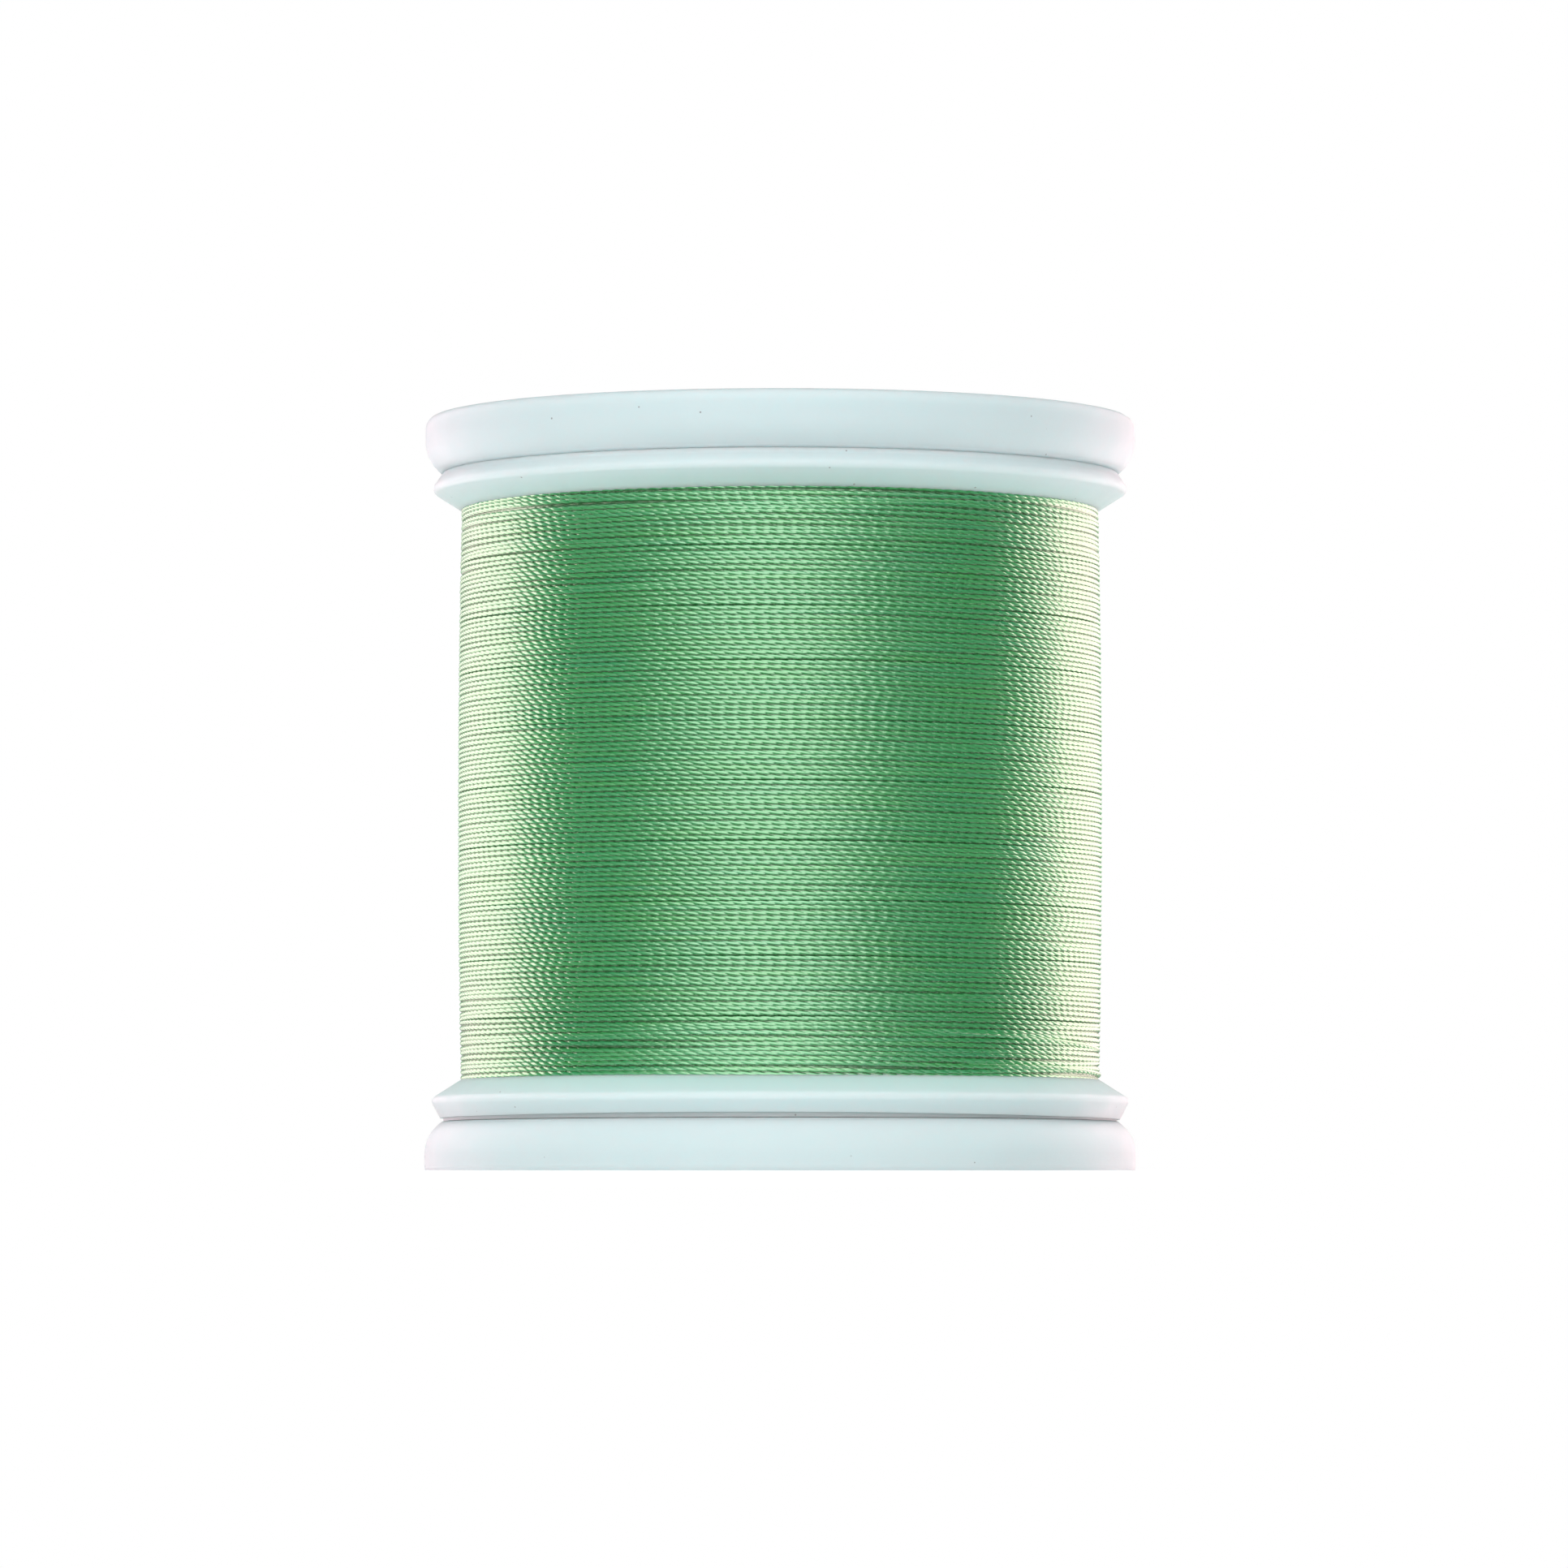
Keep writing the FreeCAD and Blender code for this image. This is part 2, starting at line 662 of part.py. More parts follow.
def main():
    """Make the document, one object for each sub-part, and write the parts."""
    doc = FreeCAD.newDocument("line_spool")
    sheet = make_sizes(doc)
    places = make_places(doc)
    turns, last_run = make_turns(doc, sheet, places)
    items = [
        make_core(doc),
        make_cap(doc, "bottom_cap", "0", False),
        make_cap(doc, "top_cap", "places.total_height", True),
        make_label(doc, "bottom_label", "sizes.label_recess_depth - sizes.label_thickness"),
        make_label(doc, "top_label", "places.total_height - sizes.label_recess_depth"),
        make_package(doc),
        turns,
        make_tail(doc, sheet, places, last_run),
    ]
    doc.recompute()
    check_document(doc)
    write_parts(items)
    print(f"height {places.total_height:.2f}, gaps {places.lower_gap:.2f} and {places.upper_gap:.2f}")


main()
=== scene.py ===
# %% [markdown]
# # A snap spool of fishing line
#
# The object is a small moulded bobbin, wound with a shiny twisted green line, between two
# round snap caps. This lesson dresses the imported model. The caps and the bobbin become finely
# rounded mouldings, and the plain roll of line becomes more than a hundred turns of a
# three-ply twist. Every piece is a surface worked out with numpy, in metres, and stands where
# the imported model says.

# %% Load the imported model
import math
import bpy
import numpy as np
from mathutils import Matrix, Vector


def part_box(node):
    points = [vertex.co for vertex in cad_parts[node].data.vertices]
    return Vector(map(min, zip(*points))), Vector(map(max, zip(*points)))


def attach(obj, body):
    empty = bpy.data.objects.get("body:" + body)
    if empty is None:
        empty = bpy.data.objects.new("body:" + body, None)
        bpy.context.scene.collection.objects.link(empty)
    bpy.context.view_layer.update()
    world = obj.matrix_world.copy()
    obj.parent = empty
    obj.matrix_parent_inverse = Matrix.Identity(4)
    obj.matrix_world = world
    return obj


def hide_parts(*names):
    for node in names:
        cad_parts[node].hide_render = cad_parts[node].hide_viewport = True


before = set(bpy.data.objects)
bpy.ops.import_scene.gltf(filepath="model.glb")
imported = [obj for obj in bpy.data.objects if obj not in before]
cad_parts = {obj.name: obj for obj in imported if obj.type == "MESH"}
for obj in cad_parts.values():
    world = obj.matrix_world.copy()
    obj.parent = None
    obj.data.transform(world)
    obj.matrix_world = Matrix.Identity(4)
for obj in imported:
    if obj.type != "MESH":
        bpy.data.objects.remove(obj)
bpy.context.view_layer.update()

MM = 0.001
print("nodes:", sorted(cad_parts))

# %% [markdown]
# ## Where everything is
#
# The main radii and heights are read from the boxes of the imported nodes, so the looks follow
# the construction. Only what a box can't tell, such as a wall or a bevel, is written here.

# %% Radii and heights from the model
cap_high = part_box("bottom_cap")[1]
core_low, core_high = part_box("spool_core")
roll_low, roll_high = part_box("line_package")

TOTAL_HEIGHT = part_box("top_cap")[1].z
CAP_RADIUS = cap_high.x
CAP_HEIGHT = 2.55 * MM
HUB_LENGTH = cap_high.z
CORE_BOTTOM = core_low.z
CORE_LENGTH = core_high.z - core_low.z
FLANGE_RADIUS = core_high.x
WRAP_CLEARANCE = 0.03 * MM
WINDING_BOTTOM = roll_low.z - WRAP_CLEARANCE
WINDING_TOP = roll_high.z + WRAP_CLEARANCE
LINE_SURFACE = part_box("line_turns")[1].x
LABEL_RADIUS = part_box("bottom_label")[1].x
print(f"cap radius {CAP_RADIUS / MM:.2f} mm, flange radius {FLANGE_RADIUS / MM:.2f} mm")
print(f"line from {WINDING_BOTTOM / MM:.2f} to {WINDING_TOP / MM:.2f} mm")
print(f"line radius {LINE_SURFACE / MM:.2f} mm")

# %% [markdown]
# ## From arrays to a mesh
#
# A surface is an array of points with rows and columns. Its faces come from the same row and
# column numbers, so no loop visits a vertex. A closed shape whose faces point inwards has a
# negative volume, and is turned the right way round.


# %% Helpers that make meshes
def grid_faces(rows, columns, wrap_rows=False, wrap_columns=False):
    """Quads between neighbouring points of a grid of rows and columns, as point numbers."""
    row = np.arange(rows if wrap_rows else rows - 1)[:, None]
    column = np.arange(columns if wrap_columns else columns - 1)[None, :]
    next_row = (row + 1) % rows
    next_column = (column + 1) % columns
    corners = [row * columns + column, next_row * columns + column,
               next_row * columns + next_column, row * columns + next_column]
    return np.stack(corners, axis=-1).reshape(-1, 4)


def join_parts(parts):
    """One (points, faces) pair from several, where faces is a list of arrays of point numbers."""
    points, faces, offset = [], [], 0
    for part_points, part_faces in parts:
        points.append(part_points.reshape(-1, 3))
        faces += [block + offset for block in part_faces]
        offset += points[-1].shape[0]
    return np.concatenate(points), faces


def volume_of(points, faces):
    """Signed volume: each face with the origin makes cones, whose volumes are added."""
    total = 0.0
    for block in faces:
        first = points[block[:, 0]]
        for corner in range(1, block.shape[1] - 1):
            second, third = points[block[:, corner]], points[block[:, corner + 1]]
            total += np.einsum("ij,ij->", first, np.cross(second, third)) / 6
    return total


def outward(points, faces):
    """The faces with their corners in the order that makes a closed shape's faces point out."""
    if volume_of(points, faces) < 0:
        return [block[:, ::-1] for block in faces]
    return faces


def new_mesh(name, points, faces, crease=None):
    """Smooth mesh from points and blocks of faces. Edges sharper than crease stay sharp."""
    mesh = bpy.data.meshes.new(name)
    mesh.vertices.add(len(points))
    mesh.vertices.foreach_set("co", points.astype(np.float32).ravel())
    corners = np.concatenate([block.ravel() for block in faces])
    sizes = np.concatenate([np.full(len(block), block.shape[1]) for block in faces])
    mesh.loops.add(len(corners))
    mesh.loops.foreach_set("vertex_index", corners.astype(np.int32))
    mesh.polygons.add(len(sizes))
    starts = np.concatenate([[0], np.cumsum(sizes)[:-1]])
    mesh.polygons.foreach_set("loop_start", starts.astype(np.int32))
    mesh.polygons.foreach_set("use_smooth", np.ones(len(sizes), dtype=bool))
    mesh.update(calc_edges=True)
    if crease is not None:
        mesh.set_sharp_from_angle(angle=crease)
    return mesh


def add_piece(mesh, material, body, nodes=()):
    """Object for a finished mesh that rides on a body and stands for the nodes given."""
    piece = bpy.data.objects.new(mesh.name, mesh)
    bpy.context.scene.collection.objects.link(piece)
    mesh.materials.append(material)
    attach(piece, body)
    if nodes:
        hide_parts(*nodes)
    triangles = sum(len(polygon.vertices) - 2 for polygon in mesh.polygons)
    print(f"{piece.name}: {triangles} triangles on {body}")
    return piece


# %% [markdown]
# ## Node materials
#
# Each finish is a Principled shader with its numbers on its own sockets. What varies over the
# surface is linked: colour, roughness and bump, from noise in the object's own coordinates,
# which are metres, so a scale of 1000 is one feature for each millimetre.


# %% Helpers for materials
def new_material(name, **values):
    """Material with a Principled shader whose sockets have the values given."""
    material = bpy.data.materials.new(name)
    material.use_nodes = True
    shader = material.node_tree.nodes["Principled BSDF"]
    for socket, value in values.items():
        shader.inputs[socket.replace("_", " ")].default_value = value
    return material, material.node_tree, shader


def add_node(tree, kind, **values):
    """Node with properties, or sockets where the name isn't a property, set to the values."""
    node = tree.nodes.new(kind)
    for name, value in values.items():
        if hasattr(node, name):
            setattr(node, name, value)
        else:
            node.inputs[name.replace("_", " ")].default_value = value
    return node


def feed(tree, value, socket):
    """Link another socket into this one, or set it to a number or to a colour's three."""
    if isinstance(value, bpy.types.NodeSocket):
        tree.links.new(value, socket)
    elif isinstance(value, tuple):
        socket.default_value = (*value, 1.0)
    else:
        socket.default_value = value


def calculate(tree, operation, *values, **settings):
    """Math node on values, each a number or a socket."""
    node = add_node(tree, "ShaderNodeMath", operation=operation, **settings)
    for value, socket in zip(values, node.inputs):
        feed(tree, value, socket)
    return node.outputs[0]


def blend_colours(tree, factor, first, second):
    """Mix node from the first colour to the second, by a factor socket."""
    mix = add_node(tree, "ShaderNodeMix", data_type="RGBA")
    tree.links.new(factor, mix.inputs[0])
    feed(tree, first, mix.inputs[6])
    feed(tree, second, mix.inputs[7])
    return mix.outputs[2]


def map_range(tree, value, low, high, to_low, to_high, **settings):
    """Value carried from one range to another, and held at its ends."""
    node = add_node(tree, "ShaderNodeMapRange", clamp=True, **settings)
    for index, number in ((1, low), (2, high), (3, to_low), (4, to_high)):
        node.inputs[index].default_value = number
    tree.links.new(value, node.inputs[0])
    return node.outputs[0]


def stretched(tree, coordinates, scale):
    """Coordinates times a scale for each direction."""
    node = add_node(tree, "ShaderNodeMapping", Scale=scale)
    tree.links.new(coordinates, node.inputs["Vector"])
    return node.outputs["Vector"]


def distance_to_axis(tree, coordinates):
    """Length of the coordinates with their height left out."""
    flat = add_node(tree, "ShaderNodeVectorMath", operation="MULTIPLY")
    flat.inputs[1].default_value = (1.0, 1.0, 0.0)
    tree.links.new(coordinates, flat.inputs[0])
    length = add_node(tree, "ShaderNodeVectorMath", operation="LENGTH")
    tree.links.new(flat.outputs[0], length.inputs[0])
    return length.outputs["Value"]


def noise(tree, coordinates, scale, detail=2.0):
    """Noise of a given scale, read at the coordinates."""
    node = add_node(tree, "ShaderNodeTexNoise", Scale=scale, Detail=detail)
    tree.links.new(coordinates, node.inputs["Vector"])
    return node.outputs["Fac"]


def bump(tree, height, distance, strength, shader):
    """Bump from a height socket into the shader's normal."""
    node = add_node(tree, "ShaderNodeBump", Strength=strength, Distance=distance)
    tree.links.new(height, node.inputs["Height"])
    tree.links.new(node.outputs["Normal"], shader.inputs["Normal"])


# %% [markdown]
# ## Milky plastic
#
# The mouldings are a natural polypropylene or polyethylene: white with a cool tint, a little
# see-through, so light spreads inside it and softens its edges. Subsurface scattering does
# that. The surface has the faint waves of a moulding, a very fine grain, and a few specks of
# dust, which the photo shows as tiny dark dots.
#
# Three more tints follow the place, and each is painted light or shade. Beside the winding
# the flange gets painted green light from the line. The seam under the upper cap is so fine
# that light fills it, so its edges get painted light. In the gap over the lower cap the inner
# rim gets painted shade, a soft grey. Each is a range of heights and radii, so it stays on
# its spot from any side.

# %% Plastic
PLASTIC_COOL = (0.640, 0.755, 0.775)
PLASTIC_PALE = (0.680, 0.780, 0.795)
# Painted green light from the line, on the flange beside the winding, and how far it reaches.
PAINTED_GREEN_LIGHT = (0.45, 0.77, 0.73)
PAINTED_GREEN_REACH = 0.8 * MM
# Painted light in the seam under the upper cap.
PAINTED_SEAM_LIGHT = (0.76, 0.91, 0.94)
SEAM_REACH = (0.05 * MM, 0.22 * MM)
# Painted shade in the gap over the lower cap.
PAINTED_GAP_SHADE = (0.38, 0.45, 0.45)
GAP_RADII = (15.18 * MM, 15.30 * MM)
DUST_COLOUR = (0.30, 0.32, 0.33)


def painted_green_share(tree, height):
    """Share of painted green light: a half beside the winding, falling to none just past its ends.
    """
    from_middle = calculate(tree, "ABSOLUTE", calculate(tree, "SUBTRACT", height, TOTAL_HEIGHT / 2))
    half = (WINDING_TOP - WINDING_BOTTOM) / 2
    return map_range(tree, from_middle, half, half + PAINTED_GREEN_REACH, 0.50, 0.0)


def seam_light(tree, height):
    """Share of painted light: 1 at the seam of the upper cap, 0 a little away from it."""
    seam = CORE_BOTTOM + CORE_LENGTH
    from_seam = calculate(tree, "ABSOLUTE", calculate(tree, "SUBTRACT", height, seam))
    return map_range(tree, from_seam, *SEAM_REACH, 1.0, 0.0)


def gap_shade(tree, height, radius):
    """Share of painted shade on the rim that hangs from the bobbin, inside the gap's outer edge."""
    hanging = map_range(tree, height, CORE_BOTTOM - 0.04 * MM, CORE_BOTTOM, 1.0, 0.0)
    off_cap = map_range(tree, height, CAP_HEIGHT + 0.005 * MM, CAP_HEIGHT + 0.015 * MM, 0.0, 1.0)
    inside = map_range(tree, radius, *GAP_RADII, 0.46, 0.0)
    return calculate(tree, "MULTIPLY", calculate(tree, "MULTIPLY", hanging, off_cap), inside)


def dust_specks(tree, place):
    """1 near the middle of about half the cells of a Voronoi pattern, and 0 elsewhere."""
    cells = add_node(tree, "ShaderNodeTexVoronoi", Scale=900.0)
    tree.links.new(place, cells.inputs["Vector"])
    parts = add_node(tree, "ShaderNodeSeparateColor")
    tree.links.new(cells.outputs["Color"], parts.inputs[0])
    chosen = map_range(tree, parts.outputs[0], 0.45, 0.46, 0.0, 1.0)
    near = map_range(tree, cells.outputs["Distance"], 0.030, 0.050, 1.0, 0.0)
    return calculate(tree, "MULTIPLY", chosen, near)


def make_plastic():
    """Cloudy plastic whose colour gathers painted light and shade, and dust, one after another."""
    material, tree, shader = new_material(
        "milky_plastic", Roughness=0.48, IOR=1.45, Subsurface_Weight=1.0, Subsurface_Scale=0.9 * MM)
    shader.inputs["Subsurface Radius"].default_value = (0.8, 1.1, 1.1)
    place = add_node(tree, "ShaderNodeTexCoord").outputs["Object"]
    parts = add_node(tree, "ShaderNodeSeparateXYZ")
    tree.links.new(place, parts.inputs[0])
    height, radius = parts.outputs["Z"], distance_to_axis(tree, place)
    clouds = noise(tree, place, 160.0, 3.0)
    colour = blend_colours(tree, clouds, PLASTIC_COOL, PLASTIC_PALE)
    # Painted green light on the flange beside the winding.
    colour = blend_colours(tree, painted_green_share(tree, height), colour, PAINTED_GREEN_LIGHT)
    # Painted light along the seam under the upper cap.
    colour = blend_colours(tree, seam_light(tree, height), colour, PAINTED_SEAM_LIGHT)
    # Painted shade on the rim in the gap over the lower cap.
    colour = blend_colours(tree, gap_shade(tree, height, radius), colour, PAINTED_GAP_SHADE)
    colour = blend_colours(tree, dust_specks(tree, place), colour, DUST_COLOUR)
    tree.links.new(colour, shader.inputs["Base Color"])
    patches = noise(tree, place, 900.0)
    roughness = map_range(tree, patches, 0.3, 0.7, 0.42, 0.54)
    tree.links.new(roughness, shader.inputs["Roughness"])
    grain = noise(tree, place, 2600.0, 4.0)
    bump(tree, grain, 0.02 * MM, 0.25, shader)
    return material


plastic = make_plastic()
print(f"plastic: {len(plastic.node_tree.nodes)} nodes")

# %% [markdown]
# ## Rounded outlines
#
# A turned or moulded ring is an outline of (radius, height) carried round the axis. Each
# corner of the outline is drawn as a small arc, because a real moulding has no knife edge and
# the arc is what catches the light. A point just before and after each arc keeps the flat
# faces flat under smooth shading.

# %% Outline helper
ARC_STEPS = 5
SUPPORT = 0.06 * MM
ROUND_COLUMNS = 256


def rounded_outline(corners):
    """Closed outline through corners of (radius, height, rounding), in metres.

    At a corner with rounding r, whose sides make an angle 2a, the arc's centre lies
    r / sin(a) along the bisector, and the arc touches the sides r / tan(a) from the corner.
    """
    spots = np.array([corner[:2] for corner in corners])
    outline = []
    for index, (*_, rounding) in enumerate(corners):
        corner = spots[index]
        before, after = spots[index - 1] - corner, spots[(index + 1) % len(spots)] - corner
        run_before, run_after = np.linalg.norm(before), np.linalg.norm(after)
        before, after = before / run_before, after / run_after
        half = math.acos(np.clip(before @ after, -1, 1)) / 2
        touch = rounding / math.tan(half)
        bisector = (before + after) / np.linalg.norm(before + after)
        centre = corner + bisector * rounding / math.sin(half)
        start, end = corner + before * touch - centre, corner + after * touch - centre
        share = np.linspace(0, 1, ARC_STEPS)[:, None]
        sweep = math.pi - 2 * half
        arc = (np.sin((1 - share) * sweep) * start + np.sin(share * sweep) * end) / math.sin(sweep)
        outline.append(corner + before * min(touch + SUPPORT, (touch + run_before) / 2))
        outline += list(centre + arc)
        outline.append(corner + after * min(touch + SUPPORT, (touch + run_after) / 2))
    return np.array(outline)


def turned(section):
    """Ring: each point (r, z) of the section at the angle t becomes (r cos t, r sin t, z).

    The section has rows of outline points and columns of angles, or one column for them all.
    """
    angle = np.arange(ROUND_COLUMNS) * 2 * np.pi / ROUND_COLUMNS
    radius, height = section[..., 0], section[..., 1]
    points = np.stack([radius * np.cos(angle), radius * np.sin(angle),
                       height + 0 * angle], axis=-1).reshape(-1, 3)
    faces = [grid_faces(len(section), ROUND_COLUMNS, wrap_rows=True, wrap_columns=True)]
    return points, outward(points, faces)


def turned_sector(outline, start, end, columns):
    """Part of a ring between two angles, closed by a flat face at each end."""
    angle = np.linspace(start, end, columns)
    radius, height = outline[:, 0, None], outline[:, 1, None]
    points = np.stack([radius * np.cos(angle), radius * np.sin(angle),
                       height + 0 * angle], axis=-1).reshape(-1, 3)
    rows = np.arange(len(outline)) * columns
    ends = [rows[None, ::-1], rows[None, :] + columns - 1]
    faces = [grid_faces(len(outline), columns, wrap_rows=True), *ends]
    return points, outward(points, faces)


# %% [markdown]
# ## The snap caps
#
# One mould makes both caps. A cap is a shallow dish with a rounded shoulder and a recess for
# its label. On its inside stand a hub with the hole for a spindle, six ribs, and a collar cut
# into four springy fingers. A barb near each finger's tip clicks into a groove in the barrel.
# The dish and hub are one turned outline, the fingers are sectors of another, and the ribs
# are plates. They are joined into one mesh, as they are one moulding.

# %% Cap sizes
CAP_SEAT_RADIUS = CAP_RADIUS - 0.8 * MM
CAP_SHOULDER_ROUND = 1.75 * MM
SKIRT_INNER_RADIUS = CAP_RADIUS - 1.9 * MM
RECESS_DEPTH = 0.3 * MM
RECESS_OUTER_RADIUS = LABEL_RADIUS + 0.2 * MM
RECESS_INNER_RADIUS = 5.6 * MM
WEB_TOP = 1.5 * MM
SPINDLE_RADIUS = 3.5 * MM
HUB_RADIUS = 4.6 * MM
BARREL_BORE_RADIUS = 10.8 * MM
COLLAR_RADIUS = BARREL_BORE_RADIUS - 0.08 * MM
COLLAR_BORE_RADIUS = COLLAR_RADIUS - 1.0 * MM
BARB_RADIUS = COLLAR_RADIUS + 0.42 * MM
BARB_HEIGHTS = (6.30 * MM, 6.67 * MM, 7.40 * MM)
COLLAR_TOP = 7.6 * MM
FINGER_ROOT = 3.5 * MM
FINGER_SLOT = 2.0 * MM
RIB_TOP = 3.1 * MM
RIB_THICKNESS = 0.8 * MM
SUNK = 0.3 * MM
RIB_END_SUNK = 0.4 * MM
print(f"label recess up to {RECESS_OUTER_RADIUS / MM:.2f} mm, barbs at {BARB_RADIUS / MM:.2f} mm")

# %% [markdown]
# ## Dish, fingers and ribs
#
# The dish is one closed outline that runs up the bore, along the face with its recess, round
# the shoulder and back through the skirt, collar and hub. The shoulder is a wide arc of its
# own, so its twelve points take the place of the two corners that hold it. The feet of the
# fingers and ribs are sunk a little into the dish, so no gap opens at a joint.


# %% Parts of a cap
def shoulder_points():
    """Points of the round shoulder, an arc about (R - s, height) from the side to the seat."""
    centre_radius = CAP_RADIUS - CAP_SHOULDER_ROUND
    reach = CAP_SEAT_RADIUS - centre_radius
    rise = math.sqrt(CAP_SHOULDER_ROUND ** 2 - reach ** 2)
    centre_height = CAP_HEIGHT - rise
    angle = np.linspace(0, math.atan2(rise, reach), 12)
    radius = centre_radius + CAP_SHOULDER_ROUND * np.cos(angle)
    return np.stack([radius, centre_height + CAP_SHOULDER_ROUND * np.sin(angle)], axis=-1)


def cap_dish():
    """Dish, hub and collar ring as one turned outline, with the shoulder's arc put in."""
    shoulder = shoulder_points()
    lower = rounded_outline([
        (SPINDLE_RADIUS, HUB_LENGTH, 0.2 * MM),
        (SPINDLE_RADIUS, 0, 0.3 * MM),
        (RECESS_INNER_RADIUS, 0, 0.12 * MM),
        (RECESS_INNER_RADIUS, RECESS_DEPTH, 0.1 * MM),
        (RECESS_OUTER_RADIUS, RECESS_DEPTH, 0.1 * MM),
        (RECESS_OUTER_RADIUS, 0, 0.12 * MM),
        (CAP_RADIUS, 0, 0.5 * MM),
        (*shoulder[0], 0.2 * MM),
        (*shoulder[-1], 0.015 * MM),
        (SKIRT_INNER_RADIUS, CAP_HEIGHT, 0.15 * MM),
        (SKIRT_INNER_RADIUS, WEB_TOP, 0.25 * MM),
        (COLLAR_RADIUS, WEB_TOP, 0.2 * MM),
        (COLLAR_RADIUS, FINGER_ROOT, 0.1 * MM),
        (COLLAR_BORE_RADIUS, FINGER_ROOT, 0.1 * MM),
        (COLLAR_BORE_RADIUS, WEB_TOP, 0.2 * MM),
        (HUB_RADIUS, WEB_TOP, 0.2 * MM),
        (HUB_RADIUS, HUB_LENGTH, 0.15 * MM),
    ])
    corner_points = ARC_STEPS + 2
    before, after = lower[:7 * corner_points], lower[9 * corner_points:]
    return turned(np.concatenate([before, shoulder, after])[:, None])


def cap_fingers():
    """Four sectors of the collar's outline, each with its barb, parted by the slots."""
    catch, land_end, barb_end = BARB_HEIGHTS
    outline = rounded_outline([
        (COLLAR_BORE_RADIUS, FINGER_ROOT - SUNK, 0.05 * MM),
        (COLLAR_RADIUS, FINGER_ROOT - SUNK, 0.05 * MM),
        (COLLAR_RADIUS, catch, 0.08 * MM),
        (BARB_RADIUS, catch, 0.08 * MM),
        (BARB_RADIUS, land_end, 0.15 * MM),
        (COLLAR_RADIUS, barb_end, 0.15 * MM),
        (COLLAR_RADIUS, COLLAR_TOP, 0.12 * MM),
        (COLLAR_BORE_RADIUS, COLLAR_TOP, 0.2 * MM),
    ])
    half_slot = math.asin(FINGER_SLOT / 2 / COLLAR_RADIUS)
    fingers = []
    for quarter in range(4):
        middle = quarter * math.pi / 2
        fingers.append(turned_sector(outline, middle + half_slot,
                                     middle + math.pi / 2 - half_slot, 40))
    return join_parts(fingers)


def cap_ribs():
    """Six plates from the hub to the collar: a rounded outline of (y, z) carried along x."""
    half = RIB_THICKNESS / 2
    section = rounded_outline([
        (-half, WEB_TOP - SUNK, 0.05 * MM), (half, WEB_TOP - SUNK, 0.05 * MM),
        (half, RIB_TOP, 0.25 * MM), (-half, RIB_TOP, 0.25 * MM)])
    reach = np.array([HUB_RADIUS - RIB_END_SUNK, COLLAR_BORE_RADIUS + RIB_END_SUNK])
    rows = len(section)
    plate = np.stack([np.tile(reach, (rows, 1)), np.tile(section[:, 0, None], (1, 2)),
                      np.tile(section[:, 1, None], (1, 2))], axis=-1).reshape(-1, 3)
    numbers = np.arange(rows) * 2
    faces = [grid_faces(rows, 2, wrap_rows=True), numbers[None, ::-1], numbers[None, :] + 1]
    faces = outward(plate, faces)
    ribs = []
    for sixth in range(6):
        angle = sixth * math.pi / 3
        turn = np.array([[math.cos(angle), math.sin(angle), 0],
                         [-math.sin(angle), math.cos(angle), 0], [0, 0, 1]])
        ribs.append((plate @ turn, faces))
    return join_parts(ribs)


# %% [markdown]
# ## Both caps
#
# The upper cap is the same mesh turned half way round the X axis and lifted to the top, as
# the two real caps come from one mould. A crease angle keeps the corners between the flat
# faces sharp, and everything flatter is shaded smooth.


# %% Both caps
CREASE = math.radians(50)


def make_cap(name, node, body, turned_over):
    """The cap's moulding, turned over about the X axis where it is the upper one."""
    points, faces = join_parts([cap_dish(), cap_fingers(), cap_ribs()])
    if turned_over:
        points = points * (1, -1, -1) + (0, 0, TOTAL_HEIGHT)
    mesh = new_mesh(name, points, faces, crease=CREASE)
    return add_piece(mesh, plastic, body, [node])


make_cap("lower_snap_cap", "bottom_cap", "lower_end", False)
make_cap("upper_snap_cap", "top_cap", "upper_end", True)

# %% [markdown]
# ## The bobbin
#
# The bobbin is one more turned moulding: a barrel with a flange at each end. The flange has a
# bevel towards its cap, a round nose, and a cone towards the line, which guides the line into
# the gap. Each mouth of the barrel has the groove that the barbs click into. The outline is
# written from the lower end to the middle, then from the upper end and mirrored.
#
# A low rim stands under the lower flange and closes the gap from the inside. The flange's edge
# has warped a little in cooling, so the gap is widest in front and narrows to the sides, as in
# the photo. Both leave an opening at the back, where the line's end goes in. So the section
# changes round the axis: it is a plain outline plus a share of the lowered edge and a share of
# the rim. Even the plain outline hangs down by a hair, a little more than the roundings of its
# corners take, so that no two of its points fall together.

# %% Bobbin
FLANGE_BEVEL = 0.45 * MM
FLANGE_CONE_REACH = 1.45 * MM
FLANGE_RIM_HEIGHT = 0.7 * MM
FLANGE_THICKNESS = WINDING_BOTTOM - CORE_BOTTOM
BARREL_RADIUS = BARREL_BORE_RADIUS + 1.4 * MM
SNAP_LIP = 1.6 * MM
SNAP_GROOVE_END = 5.05 * MM
SNAP_GROOVE_RADIUS = BARB_RADIUS + 0.05 * MM
RIM_RADII = (14.30 * MM, 15.15 * MM)
LEAST_DROP = 0.012 * MM
EDGE_DROP = 0.225 * MM
RIM_DROP = 0.265 * MM
UPPER_RISE = 0.044 * MM
RIM_OPENING = math.radians(42)
RIM_OPENING_HALF = math.radians(14)


